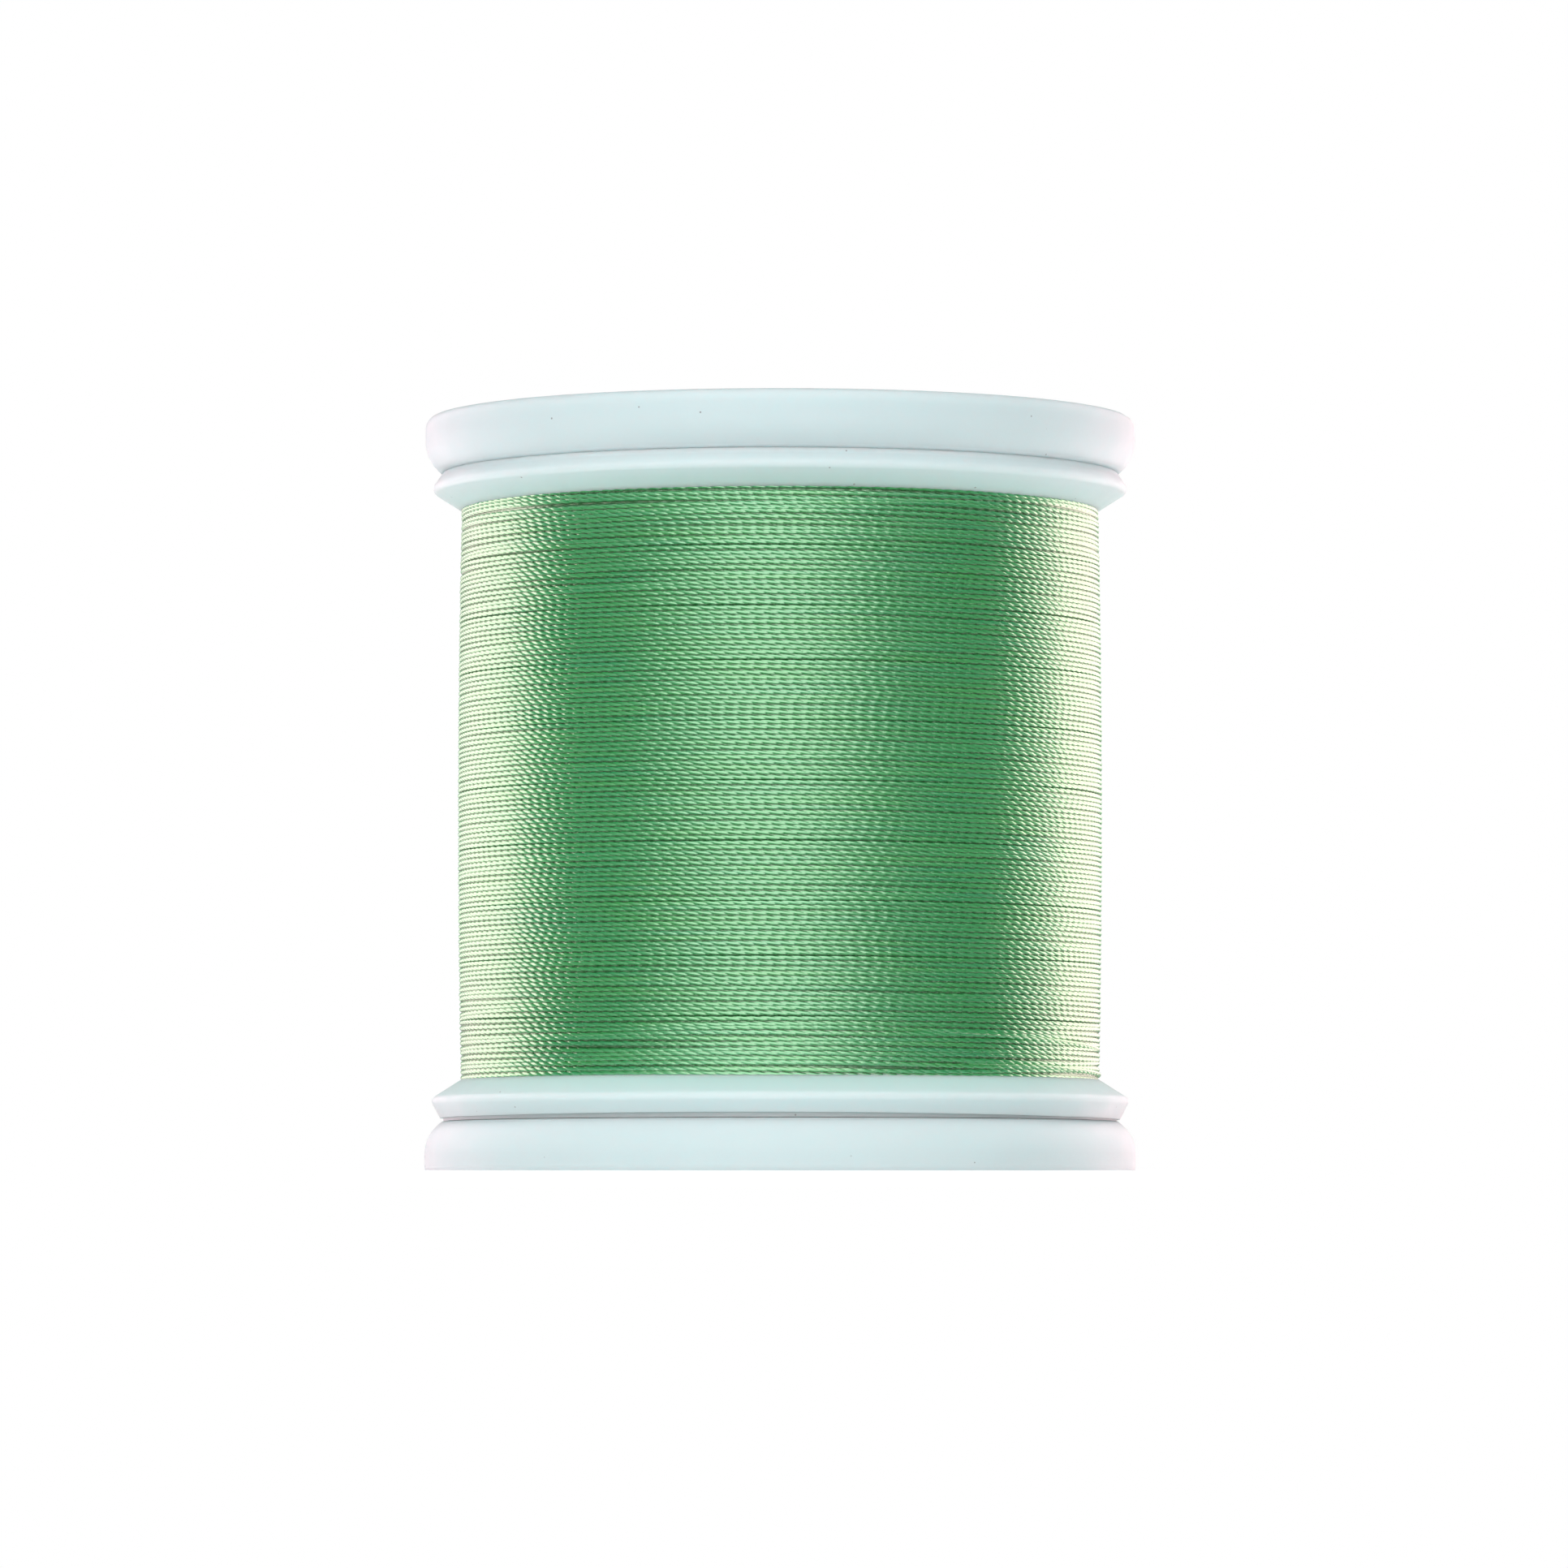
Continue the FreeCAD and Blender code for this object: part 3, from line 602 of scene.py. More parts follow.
def bobbin_outline(edge_drop=LEAST_DROP, rim_drop=LEAST_DROP):
    """Lower half's corners as (radius, height, rounding), then the upper half's corners."""
    edge_radius = FLANGE_RADIUS - FLANGE_BEVEL
    nose = [
        (FLANGE_RADIUS, FLANGE_RIM_HEIGHT, 0.25 * MM),
        (FLANGE_RADIUS - FLANGE_CONE_REACH, FLANGE_THICKNESS, 0.15 * MM),
        (BARREL_RADIUS, FLANGE_THICKNESS, 0.2 * MM),
    ]
    lower = [
        (BARREL_BORE_RADIUS, 0, 0.2 * MM),
        (RIM_RADII[0], 0, 0.01 * MM),
        (RIM_RADII[0], -rim_drop - LEAST_DROP, 0.01 * MM),
        (RIM_RADII[1], -rim_drop - LEAST_DROP, 0.01 * MM),
        (RIM_RADII[1], -edge_drop, 0.005 * MM),
        (edge_radius, -edge_drop, 0.02 * MM),
    ]
    upper = [
        (BARREL_BORE_RADIUS, 0, 0.2 * MM),
        (RIM_RADII[0], 0, 0.01 * MM),
        (RIM_RADII[0], -UPPER_RISE, 0.01 * MM),
        (CAP_SEAT_RADIUS + 0.03 * MM, -UPPER_RISE, 0.005 * MM),
    ]
    inside = [
        (BARREL_BORE_RADIUS, SNAP_LIP, 0.1 * MM),
        (SNAP_GROOVE_RADIUS, SNAP_LIP, 0.1 * MM),
        (SNAP_GROOVE_RADIUS, SNAP_GROOVE_END, 0.1 * MM),
        (BARREL_BORE_RADIUS, SNAP_GROOVE_END, 0.1 * MM),
    ]

    def mirrored(corners):
        return [(radius, CORE_LENGTH - height, rounding)
                for radius, height, rounding in corners[::-1]]

    outline = rounded_outline(lower + nose + mirrored(upper + nose) + mirrored(inside) + inside)
    return outline + (0, CORE_BOTTOM)


def rim_shares(angle):
    """How far the outer edge and the inner rim hang down at each angle, from 0 to 1.

    Both are 0 in the opening, with a smooth step 3 s^2 - 2 s^3 at each end of it.
    """
    from_opening = np.abs((angle - RIM_OPENING + np.pi) % (2 * np.pi) - np.pi)
    step = np.clip((from_opening - RIM_OPENING_HALF) / RIM_OPENING_HALF, 0, 1)
    step = step ** 2 * (3 - 2 * step)
    warp = 0.18 + 0.60 * np.cos(angle) ** 2 + 0.16 * np.cos(angle)
    return step * warp, step


def make_bobbin():
    """The plain outline at every angle, plus its share of the lowered edge and of the rim."""
    angle = np.arange(ROUND_COLUMNS) * 2 * np.pi / ROUND_COLUMNS
    edge_share, rim_share = rim_shares(angle)
    plain = bobbin_outline()[:, None, :]
    lowered = bobbin_outline(edge_drop=EDGE_DROP)[:, None, :] - plain
    rimmed = bobbin_outline(rim_drop=RIM_DROP)[:, None, :] - plain
    section = plain + edge_share[None, :, None] * lowered + rim_share[None, :, None] * rimmed
    mesh = new_mesh("bobbin_moulding", *turned(section), crease=CREASE)
    return add_piece(mesh, plastic, "bobbin", ["spool_core"])


make_bobbin()

# %% [markdown]
# ## Green line
#
# The line is a shiny twist of fine filaments in a clear green. Most of its light is a sheen:
# a filament throws light on in a cone about its own direction, so a winding shows upright
# bands where it mirrors the studio, and the highlight keeps some of the green. A high index
# with a tinted highlight gives that much sheen, which plain gloss hasn't. Its roughness is
# one number all over, because a change of it in the grooves breaks the sheen into grain.
#
# The filaments are a noise stretched along the line, which the line's own UV map makes
# possible: U is the length along it in metres and V the share of the way round it. The
# creases between the plies are where three times (V + U / lay) passes a half. The attribute
# "depth" is 0 on a ply's crown and 1 in a groove between turns. From it the colour gets
# painted light on the crowns and painted shade in the grooves, and the creases get painted
# shade too.


# %% Line material
PLIES = 3
LAY = 1.7945 * MM
SHEEN_TINT = (0.72, 0.95, 0.71)
BLUER_GREEN = (0.008, 0.27, 0.096)
WARMER_GREEN = (0.032, 0.32, 0.058)
FILAMENT_GREEN = (0.10, 0.46, 0.18)
# Painted light for the crowns, and painted shade for the grooves and creases.
CROWN_PAINTED_LIGHT = (0.09, 0.46, 0.18)
GROOVE_PAINTED_SHADE = (0.002, 0.090, 0.014)


def ply_place(tree, place):
    """0 along the middle of each ply and a half in the crease between two."""
    turns = add_node(tree, "ShaderNodeVectorMath", operation="DOT_PRODUCT")
    turns.inputs[1].default_value = (PLIES / LAY, PLIES, 0.0)
    tree.links.new(place, turns.inputs[0])
    return calculate(tree, "PINGPONG", turns.outputs["Value"], 0.5)


def make_line_material():
    """Sheen along the line over greens of shades and filaments, with painted light and shade."""
    material, tree, shader = new_material(
        "green_line", Roughness=0.22, IOR=2.4, Specular_IOR_Level=1.0, Anisotropic=0.8,
        Anisotropic_Rotation=0.25, Coat_Weight=0.05, Coat_Roughness=0.2, Coat_IOR=1.5)
    feed(tree, SHEEN_TINT, shader.inputs["Specular Tint"])
    place = add_node(tree, "ShaderNodeUVMap", uv_map="along_line").outputs["UV"]
    depth = add_node(tree, "ShaderNodeAttribute", attribute_name="depth").outputs["Fac"]
    ply = ply_place(tree, place)
    shades = noise(tree, stretched(tree, place, (120.0, 0.4, 1.0)), 1.0)
    filaments = noise(tree, stretched(tree, place, (350.0, 16.0, 1.0)), 1.0)
    hue = map_range(tree, shades, 0.35, 0.65, 0.0, 1.0)
    bright = map_range(tree, filaments, 0.3, 0.7, 0.0, 0.5)
    # Painted light: the crowns of the plies get a lighter green.
    crown = map_range(tree, depth, 0.02, 0.22, 0.4, 0.0)
    # Painted shade: the creases between plies and the grooves between turns get a dark green.
    crease = map_range(tree, ply, 0.36, 0.5, 0.0, 1.0)
    groove = map_range(tree, depth, 0.30, 0.75, 0.0, 1.0)
    dark = calculate(tree, "MULTIPLY_ADD", crease, 0.16, groove, use_clamp=True)
    colour = blend_colours(tree, hue, BLUER_GREEN, WARMER_GREEN)
    colour = blend_colours(tree, bright, colour, FILAMENT_GREEN)
    colour = blend_colours(tree, crown, colour, CROWN_PAINTED_LIGHT)
    colour = blend_colours(tree, dark, colour, GROOVE_PAINTED_SHADE)
    tree.links.new(colour, shader.inputs["Base Color"])
    round_plies = map_range(tree, ply, 0.2, 0.5, 1.0, 0.0)
    relief = calculate(tree, "MULTIPLY_ADD", filaments, 0.3, round_plies)
    bump(tree, relief, 0.010 * MM, 1.0, shader)
    tangent = add_node(tree, "ShaderNodeTangent", direction_type="UV_MAP", uv_map="along_line")
    tree.links.new(tangent.outputs[0], shader.inputs["Tangent"])
    return material


line_green = make_line_material()
print(f"line material: {len(line_green.node_tree.nodes)} nodes")

# %% [markdown]
# ## The wound line
#
# The winding shows about 117 turns, each a three-ply twist. As tubes they would need millions
# of faces, most of them hidden. So the winding is one skin: a grid that follows the line
# round and round. Along it runs the distance in turns, and across it six rows go from one
# groove to the next. A row's height above the line's centre is that of the twist's outline:
# the highest of three round plies that circle the centre once in each lay. Slow waves move
# the turns a little up, down, in and out, because no machine lays a line perfectly.

# %% Line sizes
TURNS = 117
PITCH = (WINDING_TOP - WINDING_BOTTOM) / TURNS
STRAND_RADIUS = 0.118 * MM
PLY_RADIUS = 0.0745 * MM
PLY_ORBIT = STRAND_RADIUS - PLY_RADIUS
CROWN = 0.14 * MM
START_ANGLE = math.pi / 2
COLUMNS = 1140
BANDS = 10
ROW_PLACES = np.array([-0.5, -0.37, -0.19, 0.0, 0.19, 0.37])
print(f"pitch {PITCH / MM:.4f} mm")


def waves(distance, amplitude, lowest, highest, seed):
    """Sum of eight sine waves of the distance, with seeded rates, starts and sizes."""
    draw = np.random.default_rng(seed)
    rates = np.geomspace(lowest, highest, 8) * draw.uniform(0.9, 1.1, 8)
    starts = draw.uniform(0, 1, 8)
    sizes = amplitude * draw.uniform(0.5, 1.0, 8) / math.sqrt(8)
    total = np.zeros_like(distance)
    for rate, start, size in zip(rates, starts, sizes):
        total += size * np.sin(2 * np.pi * (rate * distance + start))
    return total


def turn_height(distance):
    """Height of the line's centre after so many turns: an even fall, with slow waves."""
    uneven = 0.5 + 1.4 * np.abs(1 - 2 * distance / TURNS) ** 5
    even = WINDING_TOP - PITCH * (distance + 0.5)
    return even + uneven * waves(distance, 0.040 * MM, 1.3, 6.7, 3)


def turn_radius(distance):
    """Radius of the line's centre: the crowned surface less the strand, with slow waves."""
    share = (TURNS / 2 - distance) / (TURNS / 2)
    crowned = LINE_SURFACE - STRAND_RADIUS - CROWN * share ** 2
    return crowned + waves(distance, 0.012 * MM, 1.2, 6.3, 5)


def length_along(distance):
    """Length of the line after so many turns, with the twist's own slow waves."""
    return distance * 2 * np.pi * LINE_SURFACE + waves(distance, 0.22 * MM, 0.15, 1.1, 9)


def twist_height(across, distance):
    """Height of the twist's outline above its centre, at a distance across and along.

    Ply k of three has its middle at the angle a = 2 pi (k / 3 - length / lay). Its outline
    is orbit cos(a) + sqrt(ply radius^2 - (across - orbit sin(a))^2), and the highest wins.
    """
    length = length_along(distance)
    highest = np.zeros_like(across)
    for ply in range(PLIES):
        angle = 2 * np.pi * (ply / PLIES - length / LAY)
        side = across - PLY_ORBIT * np.sin(angle)
        inside = np.clip(PLY_RADIUS ** 2 - side ** 2, 0, None)
        outline = PLY_ORBIT * np.cos(angle) + np.sqrt(inside)
        highest = np.maximum(highest, np.where(inside > 0, outline, 0))
    return highest


# %% [markdown]
# ## Skin of the winding
#
# The rows of each turn are worked out for many turns at once, as arrays of angle, radius and
# height, with what the material needs: the length along the line, the share of the way round
# it and the depth. The skin is cut into ten bands, which close through the inside, down to
# the barrel. Each is a solid ring under 200,000 triangles. The first turn starts half a pitch
# inside the flange and comes out of it on its way round.


# %% Skin of the winding
def winding_rows(first, last):
    """Angle, radius and height of each row of the skin from one turn to another.

    Between the grooves above and below a turn, a row lies at its share of the way. A groove
    belongs to two turns, and takes the mean of what both make of it.
    """
    turn = np.arange(first, last)[:, None, None]
    distance = turn + np.linspace(0, 1, COLUMNS + 1)[None, None, :]
    centre = turn_height(distance)
    above = (turn_height(distance - 1) + centre) / 2
    below = (turn_height(distance + 1) + centre) / 2
    share = -ROW_PLACES[None, :, None]
    height = np.where(share > 0, centre + 2 * share * (above - centre),
                      centre + 2 * share * (centre - below))
    radius = turn_radius(distance) + twist_height(height - centre, distance)
    before = distance - 1
    other = turn_radius(before) + twist_height(above - turn_height(before), before)
    is_groove = ROW_PLACES[None, :, None] == ROW_PLACES[0]
    radius = np.where(is_groove, (radius + other) / 2, radius)
    depth = 1 - (radius - turn_radius(distance)) / STRAND_RADIUS
    along = np.broadcast_to(length_along(distance), radius.shape)
    side = np.clip((height - centre) / STRAND_RADIUS, -1, 1)
    across = np.arcsin(side) / (2 * np.pi)
    arrays = (radius, height, along, across, depth)
    return [array.reshape(-1, COLUMNS + 1) for array in arrays]


def make_band(name, first, last, nodes):
    """Split ring of line: the skin's rows, closed through the inside and at both ends."""
    rows_used = (last - first) * len(ROW_PLACES) + 1
    rows = [array[:rows_used] for array in winding_rows(first, last + 1)]
    rows = [np.concatenate([array[:1], array, array[-1:]]) for array in rows]
    radius, height, along, across, depth = rows
    radius[[0, -1]] = BARREL_RADIUS + WRAP_CLEARANCE
    angle = START_ANGLE + 2 * np.pi * np.linspace(0, 1, COLUMNS + 1)[None, :]
    points = np.stack([radius * np.cos(angle), radius * np.sin(angle), height], axis=-1)
    rows = np.arange(len(radius)) * (COLUMNS + 1)
    ends = [rows[None, ::-1], rows[None, :] + COLUMNS]
    faces = [grid_faces(len(radius), COLUMNS + 1, wrap_rows=True), *ends]
    points = points.reshape(-1, 3)
    mesh = new_mesh(name, points, outward(points, faces))
    mark_section_edges(mesh)
    lay_out_line(mesh, along.ravel(), across.ravel(), depth.ravel())
    return add_piece(mesh, line_green, "bobbin", nodes)


def mark_section_edges(mesh):
    """Keep the edges of the two end faces sharp, so that they don't shade the skin."""
    ends = np.empty(len(mesh.edges) * 2, dtype=np.int32)
    mesh.edges.foreach_get("vertices", ends)
    columns = ends.reshape(-1, 2) % (COLUMNS + 1)
    same = columns[:, 0] == columns[:, 1]
    at_end = (columns[:, 0] == 0) | (columns[:, 0] == COLUMNS)
    sharp = mesh.attributes.new("sharp_edge", "BOOLEAN", "EDGE")
    sharp.data.foreach_set("value", same & at_end)


def lay_out_line(mesh, along, across, depth):
    """UV map of the length along the line and the share of its way round, and its depth."""
    corners = np.empty(len(mesh.loops), dtype=np.int32)
    mesh.loops.foreach_get("vertex_index", corners)
    places = np.stack([along, across], axis=-1)[corners].astype(np.float32)
    mesh.uv_layers.new(name="along_line").uv.foreach_set("vector", places.ravel())
    attribute = mesh.attributes.new("depth", "FLOAT", "POINT")
    attribute.data.foreach_set("value", np.clip(depth, 0, 1).astype(np.float32))


band_turns = np.linspace(-1, TURNS, BANDS + 1).round().astype(int)
for number, (first, last) in enumerate(zip(band_turns[:-1], band_turns[1:]), start=1):
    stands_for = ["line_package", "line_turns"] if number == 1 else []
    make_band(f"wound_line_{number}", first, last, stands_for)

# %% [markdown]
# ## The end of the line
#
# The last turn leaves the winding at the lower right. It sinks slowly across the turns below
# it, as the photo shows there, and lies along the top of the flange's cone once round the
# back. Past the right side it slides down the cone, goes round the nose, and is held in the
# gap between the flange and the lower cap. The route is a short list of points, given as
# (angle, radius, height). A smooth spline follows them, and a three-ply outline is
# carried along the spline.

# %% Route of the line's end
TAIL_POINTS = [
    (-80.0, 14.22, 6.46), (-68.0, 14.34, 6.40), (-56.0, 14.42, 6.30), (-44.0, 14.45, 6.18),
    (-30.0, 14.46, 6.02), (-16.0, 14.46, 5.86), (0.0, 14.46, 5.70), (25.0, 14.46, 5.50),
    (60.0, 14.44, 5.32), (110.0, 14.42, 5.20), (160.0, 14.42, 5.12), (210.0, 14.40, 5.06),
    (260.0, 14.40, 5.02), (300.0, 14.40, 4.98), (316.0, 14.40, 4.92), (326.0, 14.40, 4.86),
    (336.0, 14.40, 4.79), (346.0, 14.39, 4.72), (356.0, 14.37, 4.66), (364.0, 14.38, 4.64),
    (371.0, 14.50, 4.62), (377.0, 14.75, 4.50), (383.0, 15.30, 4.16), (389.0, 16.02, 3.76),
    (393.0, 16.20, 3.30), (397.0, 15.90, 2.78), (401.0, 15.10, 2.70), (406.0, 14.20, 2.70),
    (410.0, 13.30, 2.70),
]
TAIL_STEP = 0.085 * MM
SECTION_POINTS = 24


def spline_points(route):
    """Points along a smooth spline whose control points are the route's points, in metres."""
    curve = bpy.data.curves.new("route", "CURVE")
    curve.dimensions = "3D"
    curve.resolution_u = 24
    spline = curve.splines.new("NURBS")
    spline.points.add(len(route) - 1)
    spline.points.foreach_set("co", np.column_stack([route, np.ones(len(route))]).ravel())
    spline.order_u = 3
    spline.use_endpoint_u = True
    carrier = bpy.data.objects.new("route", curve)
    mesh = bpy.data.meshes.new_from_object(carrier)
    points = np.empty(len(mesh.vertices) * 3)
    mesh.vertices.foreach_get("co", points)
    bpy.data.objects.remove(carrier)
    bpy.data.meshes.remove(mesh)
    return points.reshape(-1, 3)


def from_cylinder(route):
    """Route points given as (degrees, radius in mm, height in mm), as x, y, z in metres."""
    angle, radius, height = np.array(route).T
    angle = np.radians(angle)
    return np.stack([radius * np.cos(angle), radius * np.sin(angle), height], axis=-1) * MM


def resampled(points, step):
    """The same line with points at an even distance along it."""
    runs = np.linalg.norm(np.diff(points, axis=0), axis=1)
    length = np.concatenate([[0], np.cumsum(runs)])
    even = np.linspace(0, length[-1], int(length[-1] / step) + 2)
    return np.stack([np.interp(even, length, points[:, axis]) for axis in range(3)], axis=-1), even


def room_beside(path):
    """Least distance from a path's points to the bobbin's outline, in (radius, height)."""
    spot = np.stack([np.hypot(path[:, 0], path[:, 1]), path[:, 2]], axis=-1)[:, None, :]
    start = bobbin_outline()[None, :, :]
    run = np.roll(start, -1, axis=1) - start
    share = np.clip(((spot - start) * run).sum(-1) / (run ** 2).sum(-1), 0, 1)
    return np.linalg.norm(spot - start - share[..., None] * run, axis=-1).min()


def twisted_strand(name, route, nodes):
    """Tube along the route whose section is three plies, turning once in each lay.

    Seen from its centre at angle p, ply k at angle a reaches
    orbit cos(p - a) + sqrt(ply radius^2 - orbit^2 sin(p - a)^2), and the furthest wins.
    """
    path, length = resampled(spline_points(from_cylinder(route)), TAIL_STEP)
    forward = np.gradient(path, axis=0)
    forward /= np.linalg.norm(forward, axis=1, keepdims=True)
    side = np.cross(forward, (0.0, 0.0, 1.0))
    side /= np.linalg.norm(side, axis=1, keepdims=True)
    lift = np.cross(side, forward)
    around = np.arange(SECTION_POINTS) * 2 * np.pi / SECTION_POINTS
    reach = np.zeros((len(path), SECTION_POINTS))
    for ply in range(PLIES):
        angle = around[None, :] - 2 * np.pi * (ply / PLIES - length[:, None] / LAY)
        inside = PLY_RADIUS ** 2 - (PLY_ORBIT * np.sin(angle)) ** 2
        reach = np.maximum(reach, PLY_ORBIT * np.cos(angle) + np.sqrt(inside))
    section = reach[..., None] * (np.cos(around)[None, :, None] * side[:, None, :]
                                  + np.sin(around)[None, :, None] * lift[:, None, :])
    points = (path[:, None, :] + section).reshape(-1, 3)
    ring = np.arange(SECTION_POINTS)
    ends = [ring[None, ::-1], ring[None, :] + (len(path) - 1) * SECTION_POINTS]
    faces = [grid_faces(len(path), SECTION_POINTS, wrap_columns=True), *ends]
    mesh = new_mesh(name, points, outward(points, faces))
    lay_out_line(mesh, np.repeat(length, SECTION_POINTS),
                 np.tile(around / (2 * np.pi), len(path)), 1 - reach.ravel() / STRAND_RADIUS)
    print(f"{name}: {length[-1] / MM:.1f} mm long, {room_beside(path) / MM:.3f} mm from the bobbin")
    return add_piece(mesh, line_green, "bobbin", nodes)


twisted_strand("line_tail", TAIL_POINTS, ["line_end"])

# %% [markdown]
# ## Paper labels
#
# A thin paper ring is glued into the recess of each cap. The photo doesn't show them, and
# they carry no words: only two printed green rings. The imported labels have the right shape,
# so they stay, and get a paper finish whose rings are worked out from the distance to the
# axis.


# %% Paper
PAPER_SHADES = ((0.80, 0.79, 0.74), (0.90, 0.89, 0.85))
PRINTED_GREEN = (0.06, 0.27, 0.11)
PRINTED_RINGS = ((6.4 * MM, 6.9 * MM), (12.2 * MM, 12.9 * MM))
PRINT_EDGE = 0.01 * MM


def make_paper():
    """Paper with fine fibres, and a ring of print between each pair of radii."""
    material, tree, shader = new_material("label_paper", Roughness=0.85)
    place = add_node(tree, "ShaderNodeTexCoord").outputs["Object"]
    radius = distance_to_axis(tree, place)
    fibres = noise(tree, place, 3500.0, 5.0)
    colour = blend_colours(tree, fibres, *PAPER_SHADES)
    for low, high in PRINTED_RINGS:
        past_low = map_range(tree, radius, low - PRINT_EDGE, low, 0.0, 1.0)
        before_high = map_range(tree, radius, high, high + PRINT_EDGE, 1.0, 0.0)
        printed = calculate(tree, "MULTIPLY", past_low, before_high)
        colour = blend_colours(tree, printed, colour, PRINTED_GREEN)
    tree.links.new(colour, shader.inputs["Base Color"])
    bump(tree, fibres, 0.01 * MM, 0.4, shader)
    return material


paper = make_paper()
for node in ("bottom_label", "top_label"):
    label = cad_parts[node]
    label.data.materials.clear()
    label.data.materials.append(paper)
    print(f"{node}: paper")

# %% [markdown]
# ## Camera
#
# The photo was taken with a long lens, level with the lower cap and tilted up by less than
# three degrees, so the upper rim curves the most. The spool's axis is a little left of the
# picture's middle.

# %% Camera
PICTURE_WIDTH = 1932
FOCAL_PIXELS = 11620
HORIZON_ROW = 1524
SENSOR_WIDTH = 36.0
CAMERA_PLACE = (0.18 * MM, -425.0 * MM, -2.63 * MM)
camera_data = bpy.data.cameras.new("camera")
camera_data.sensor_width = SENSOR_WIDTH
camera_data.lens = SENSOR_WIDTH * FOCAL_PIXELS / PICTURE_WIDTH
camera_data.clip_start = 0.02
camera_data.clip_end = 10.0
camera = bpy.data.objects.new("camera", camera_data)
camera.location = CAMERA_PLACE
tilt = math.atan((HORIZON_ROW - PICTURE_WIDTH / 2) / FOCAL_PIXELS)
camera.rotation_euler = (math.pi / 2 + tilt, 0, 0)
bpy.context.scene.collection.objects.link(camera)
bpy.context.scene.camera = camera
print(f"lens {camera_data.lens:.1f} mm, tilt {math.degrees(tilt):.2f} degrees")

# %% [markdown]
# ## World
#
# The photo's background is plain white. So the world is white where the camera looks, and
# only dim where it lights the object. In reflections it is brighter behind the spool than in
# front, as in a room with a white sweep behind the table. The angle from the side towards
# the back, atan2(y, |x|), tells the two apart.


# %% World
AMBIENT = 0.13
ROOM = 0.035
SWEEP = 0.6


def choose(tree, factor, when_zero, when_one):
    """Mix of two values, each a number or a socket, by a factor socket."""
    mix = add_node(tree, "ShaderNodeMix")
    tree.links.new(factor, mix.inputs[0])
    feed(tree, when_zero, mix.inputs[2])
    feed(tree, when_one, mix.inputs[3])
    return mix.outputs[0]


def make_world():
    """A world whose strength depends on what kind of ray looks at it, and where."""
    world = bpy.data.worlds.new("studio")
    world.use_nodes = True
    tree = world.node_tree
    ray = add_node(tree, "ShaderNodeLightPath")
    direction = add_node(tree, "ShaderNodeSeparateXYZ")
    tree.links.new(add_node(tree, "ShaderNodeTexCoord").outputs["Generated"], direction.inputs[0])
    sideways = calculate(tree, "ABSOLUTE", direction.outputs["X"])
    to_back = calculate(tree, "ARCTAN2", direction.outputs["Y"], sideways)
    behind = map_range(tree, to_back, 0.0, 0.35, 0.0, 1.0)
    low = map_range(tree, direction.outputs["Z"], 0.35, 0.60, 1.0, 0.0)
    on_sweep = calculate(tree, "MULTIPLY", behind, low)
    mirrored = map_range(tree, on_sweep, 0.0, 1.0, ROOM, SWEEP)
    strength = choose(tree, ray.outputs["Is Glossy Ray"], AMBIENT, mirrored)
    strength = choose(tree, ray.outputs["Is Transmission Ray"], strength, 1.0)
    strength = choose(tree, ray.outputs["Is Camera Ray"], strength, 1.0)
    background = tree.nodes["Background"]
    feed(tree, (1.0, 1.0, 1.0), background.inputs["Color"])
    tree.links.new(strength, background.inputs["Strength"])
    return world


bpy.context.scene.world = make_world()
print(f"world: {AMBIENT} on the object, mirrored from {ROOM} in front to {SWEEP} behind")

# %% [markdown]
# ## Floor and table edge
#
# The camera lies a little below the table top, so the floor has one side: it is clear from
# below and pale from above, where it carries the shadow. Away from the spool it fades to the
# background's white, so no horizon shows. The line is so shiny that a floor mirrored in it
# would wash out its dark bands, so reflections and shadow rays pass through the floor.


# %% Floor
FLOOR_HALF = 0.75
FLOOR_GREY = (0.86, 0.86, 0.86)
FADE_START = 45.0 * MM
FADE_END = 200.0 * MM


def add_card(name, points, material):
    """Stage piece of one face, with four corners."""
    card = bpy.data.objects.new(name, new_mesh(name, points, [np.array([[0, 1, 2, 3]])]))
    card.data.materials.append(material)
    bpy.context.scene.collection.objects.link(card)
    return card


def mix_shaders(tree, factor, first, second):
    """Shader between two others, by a factor socket."""
    mix = add_node(tree, "ShaderNodeMixShader")
    tree.links.new(factor, mix.inputs[0])
    tree.links.new(first.outputs[0], mix.inputs[1])
    tree.links.new(second.outputs[0], mix.inputs[2])
    return mix


def make_one_sided(tree, shader):
    """The shader on the front of each face, and nothing on its back."""
    back = add_node(tree, "ShaderNodeNewGeometry").outputs["Backfacing"]
    clear = add_node(tree, "ShaderNodeBsdfTransparent")
    surface = mix_shaders(tree, back, shader, clear)
    tree.links.new(surface.outputs[0], tree.nodes["Material Output"].inputs["Surface"])


def make_floor_material():
    """Pale floor that turns to plain white for the camera, further from the axis."""
    material, tree, shader = new_material("pale_floor", Roughness=0.6)
    feed(tree, FLOOR_GREY, shader.inputs["Base Color"])
    place = add_node(tree, "ShaderNodeTexCoord").outputs["Object"]
    far = map_range(tree, distance_to_axis(tree, place), FADE_START, FADE_END, 0.0, 1.0,
                    interpolation_type="SMOOTHSTEP")
    ray = add_node(tree, "ShaderNodeLightPath")
    seen_far = calculate(tree, "MULTIPLY", far, ray.outputs["Is Camera Ray"])
    white = add_node(tree, "ShaderNodeEmission", Strength=1.0)
    make_one_sided(tree, mix_shaders(tree, seen_far, shader, white))
    return material


floor_corners = np.array([(-1, -1, 0), (1, -1, 0), (1, 1, 0), (-1, 1, 0)]) * FLOOR_HALF
floor = add_card("floor", floor_corners, make_floor_material())
floor.visible_glossy = False
floor.visible_shadow = False
print(f"floor {2 * FLOOR_HALF} m wide, white from {FADE_END / MM:.0f} mm off the axis")

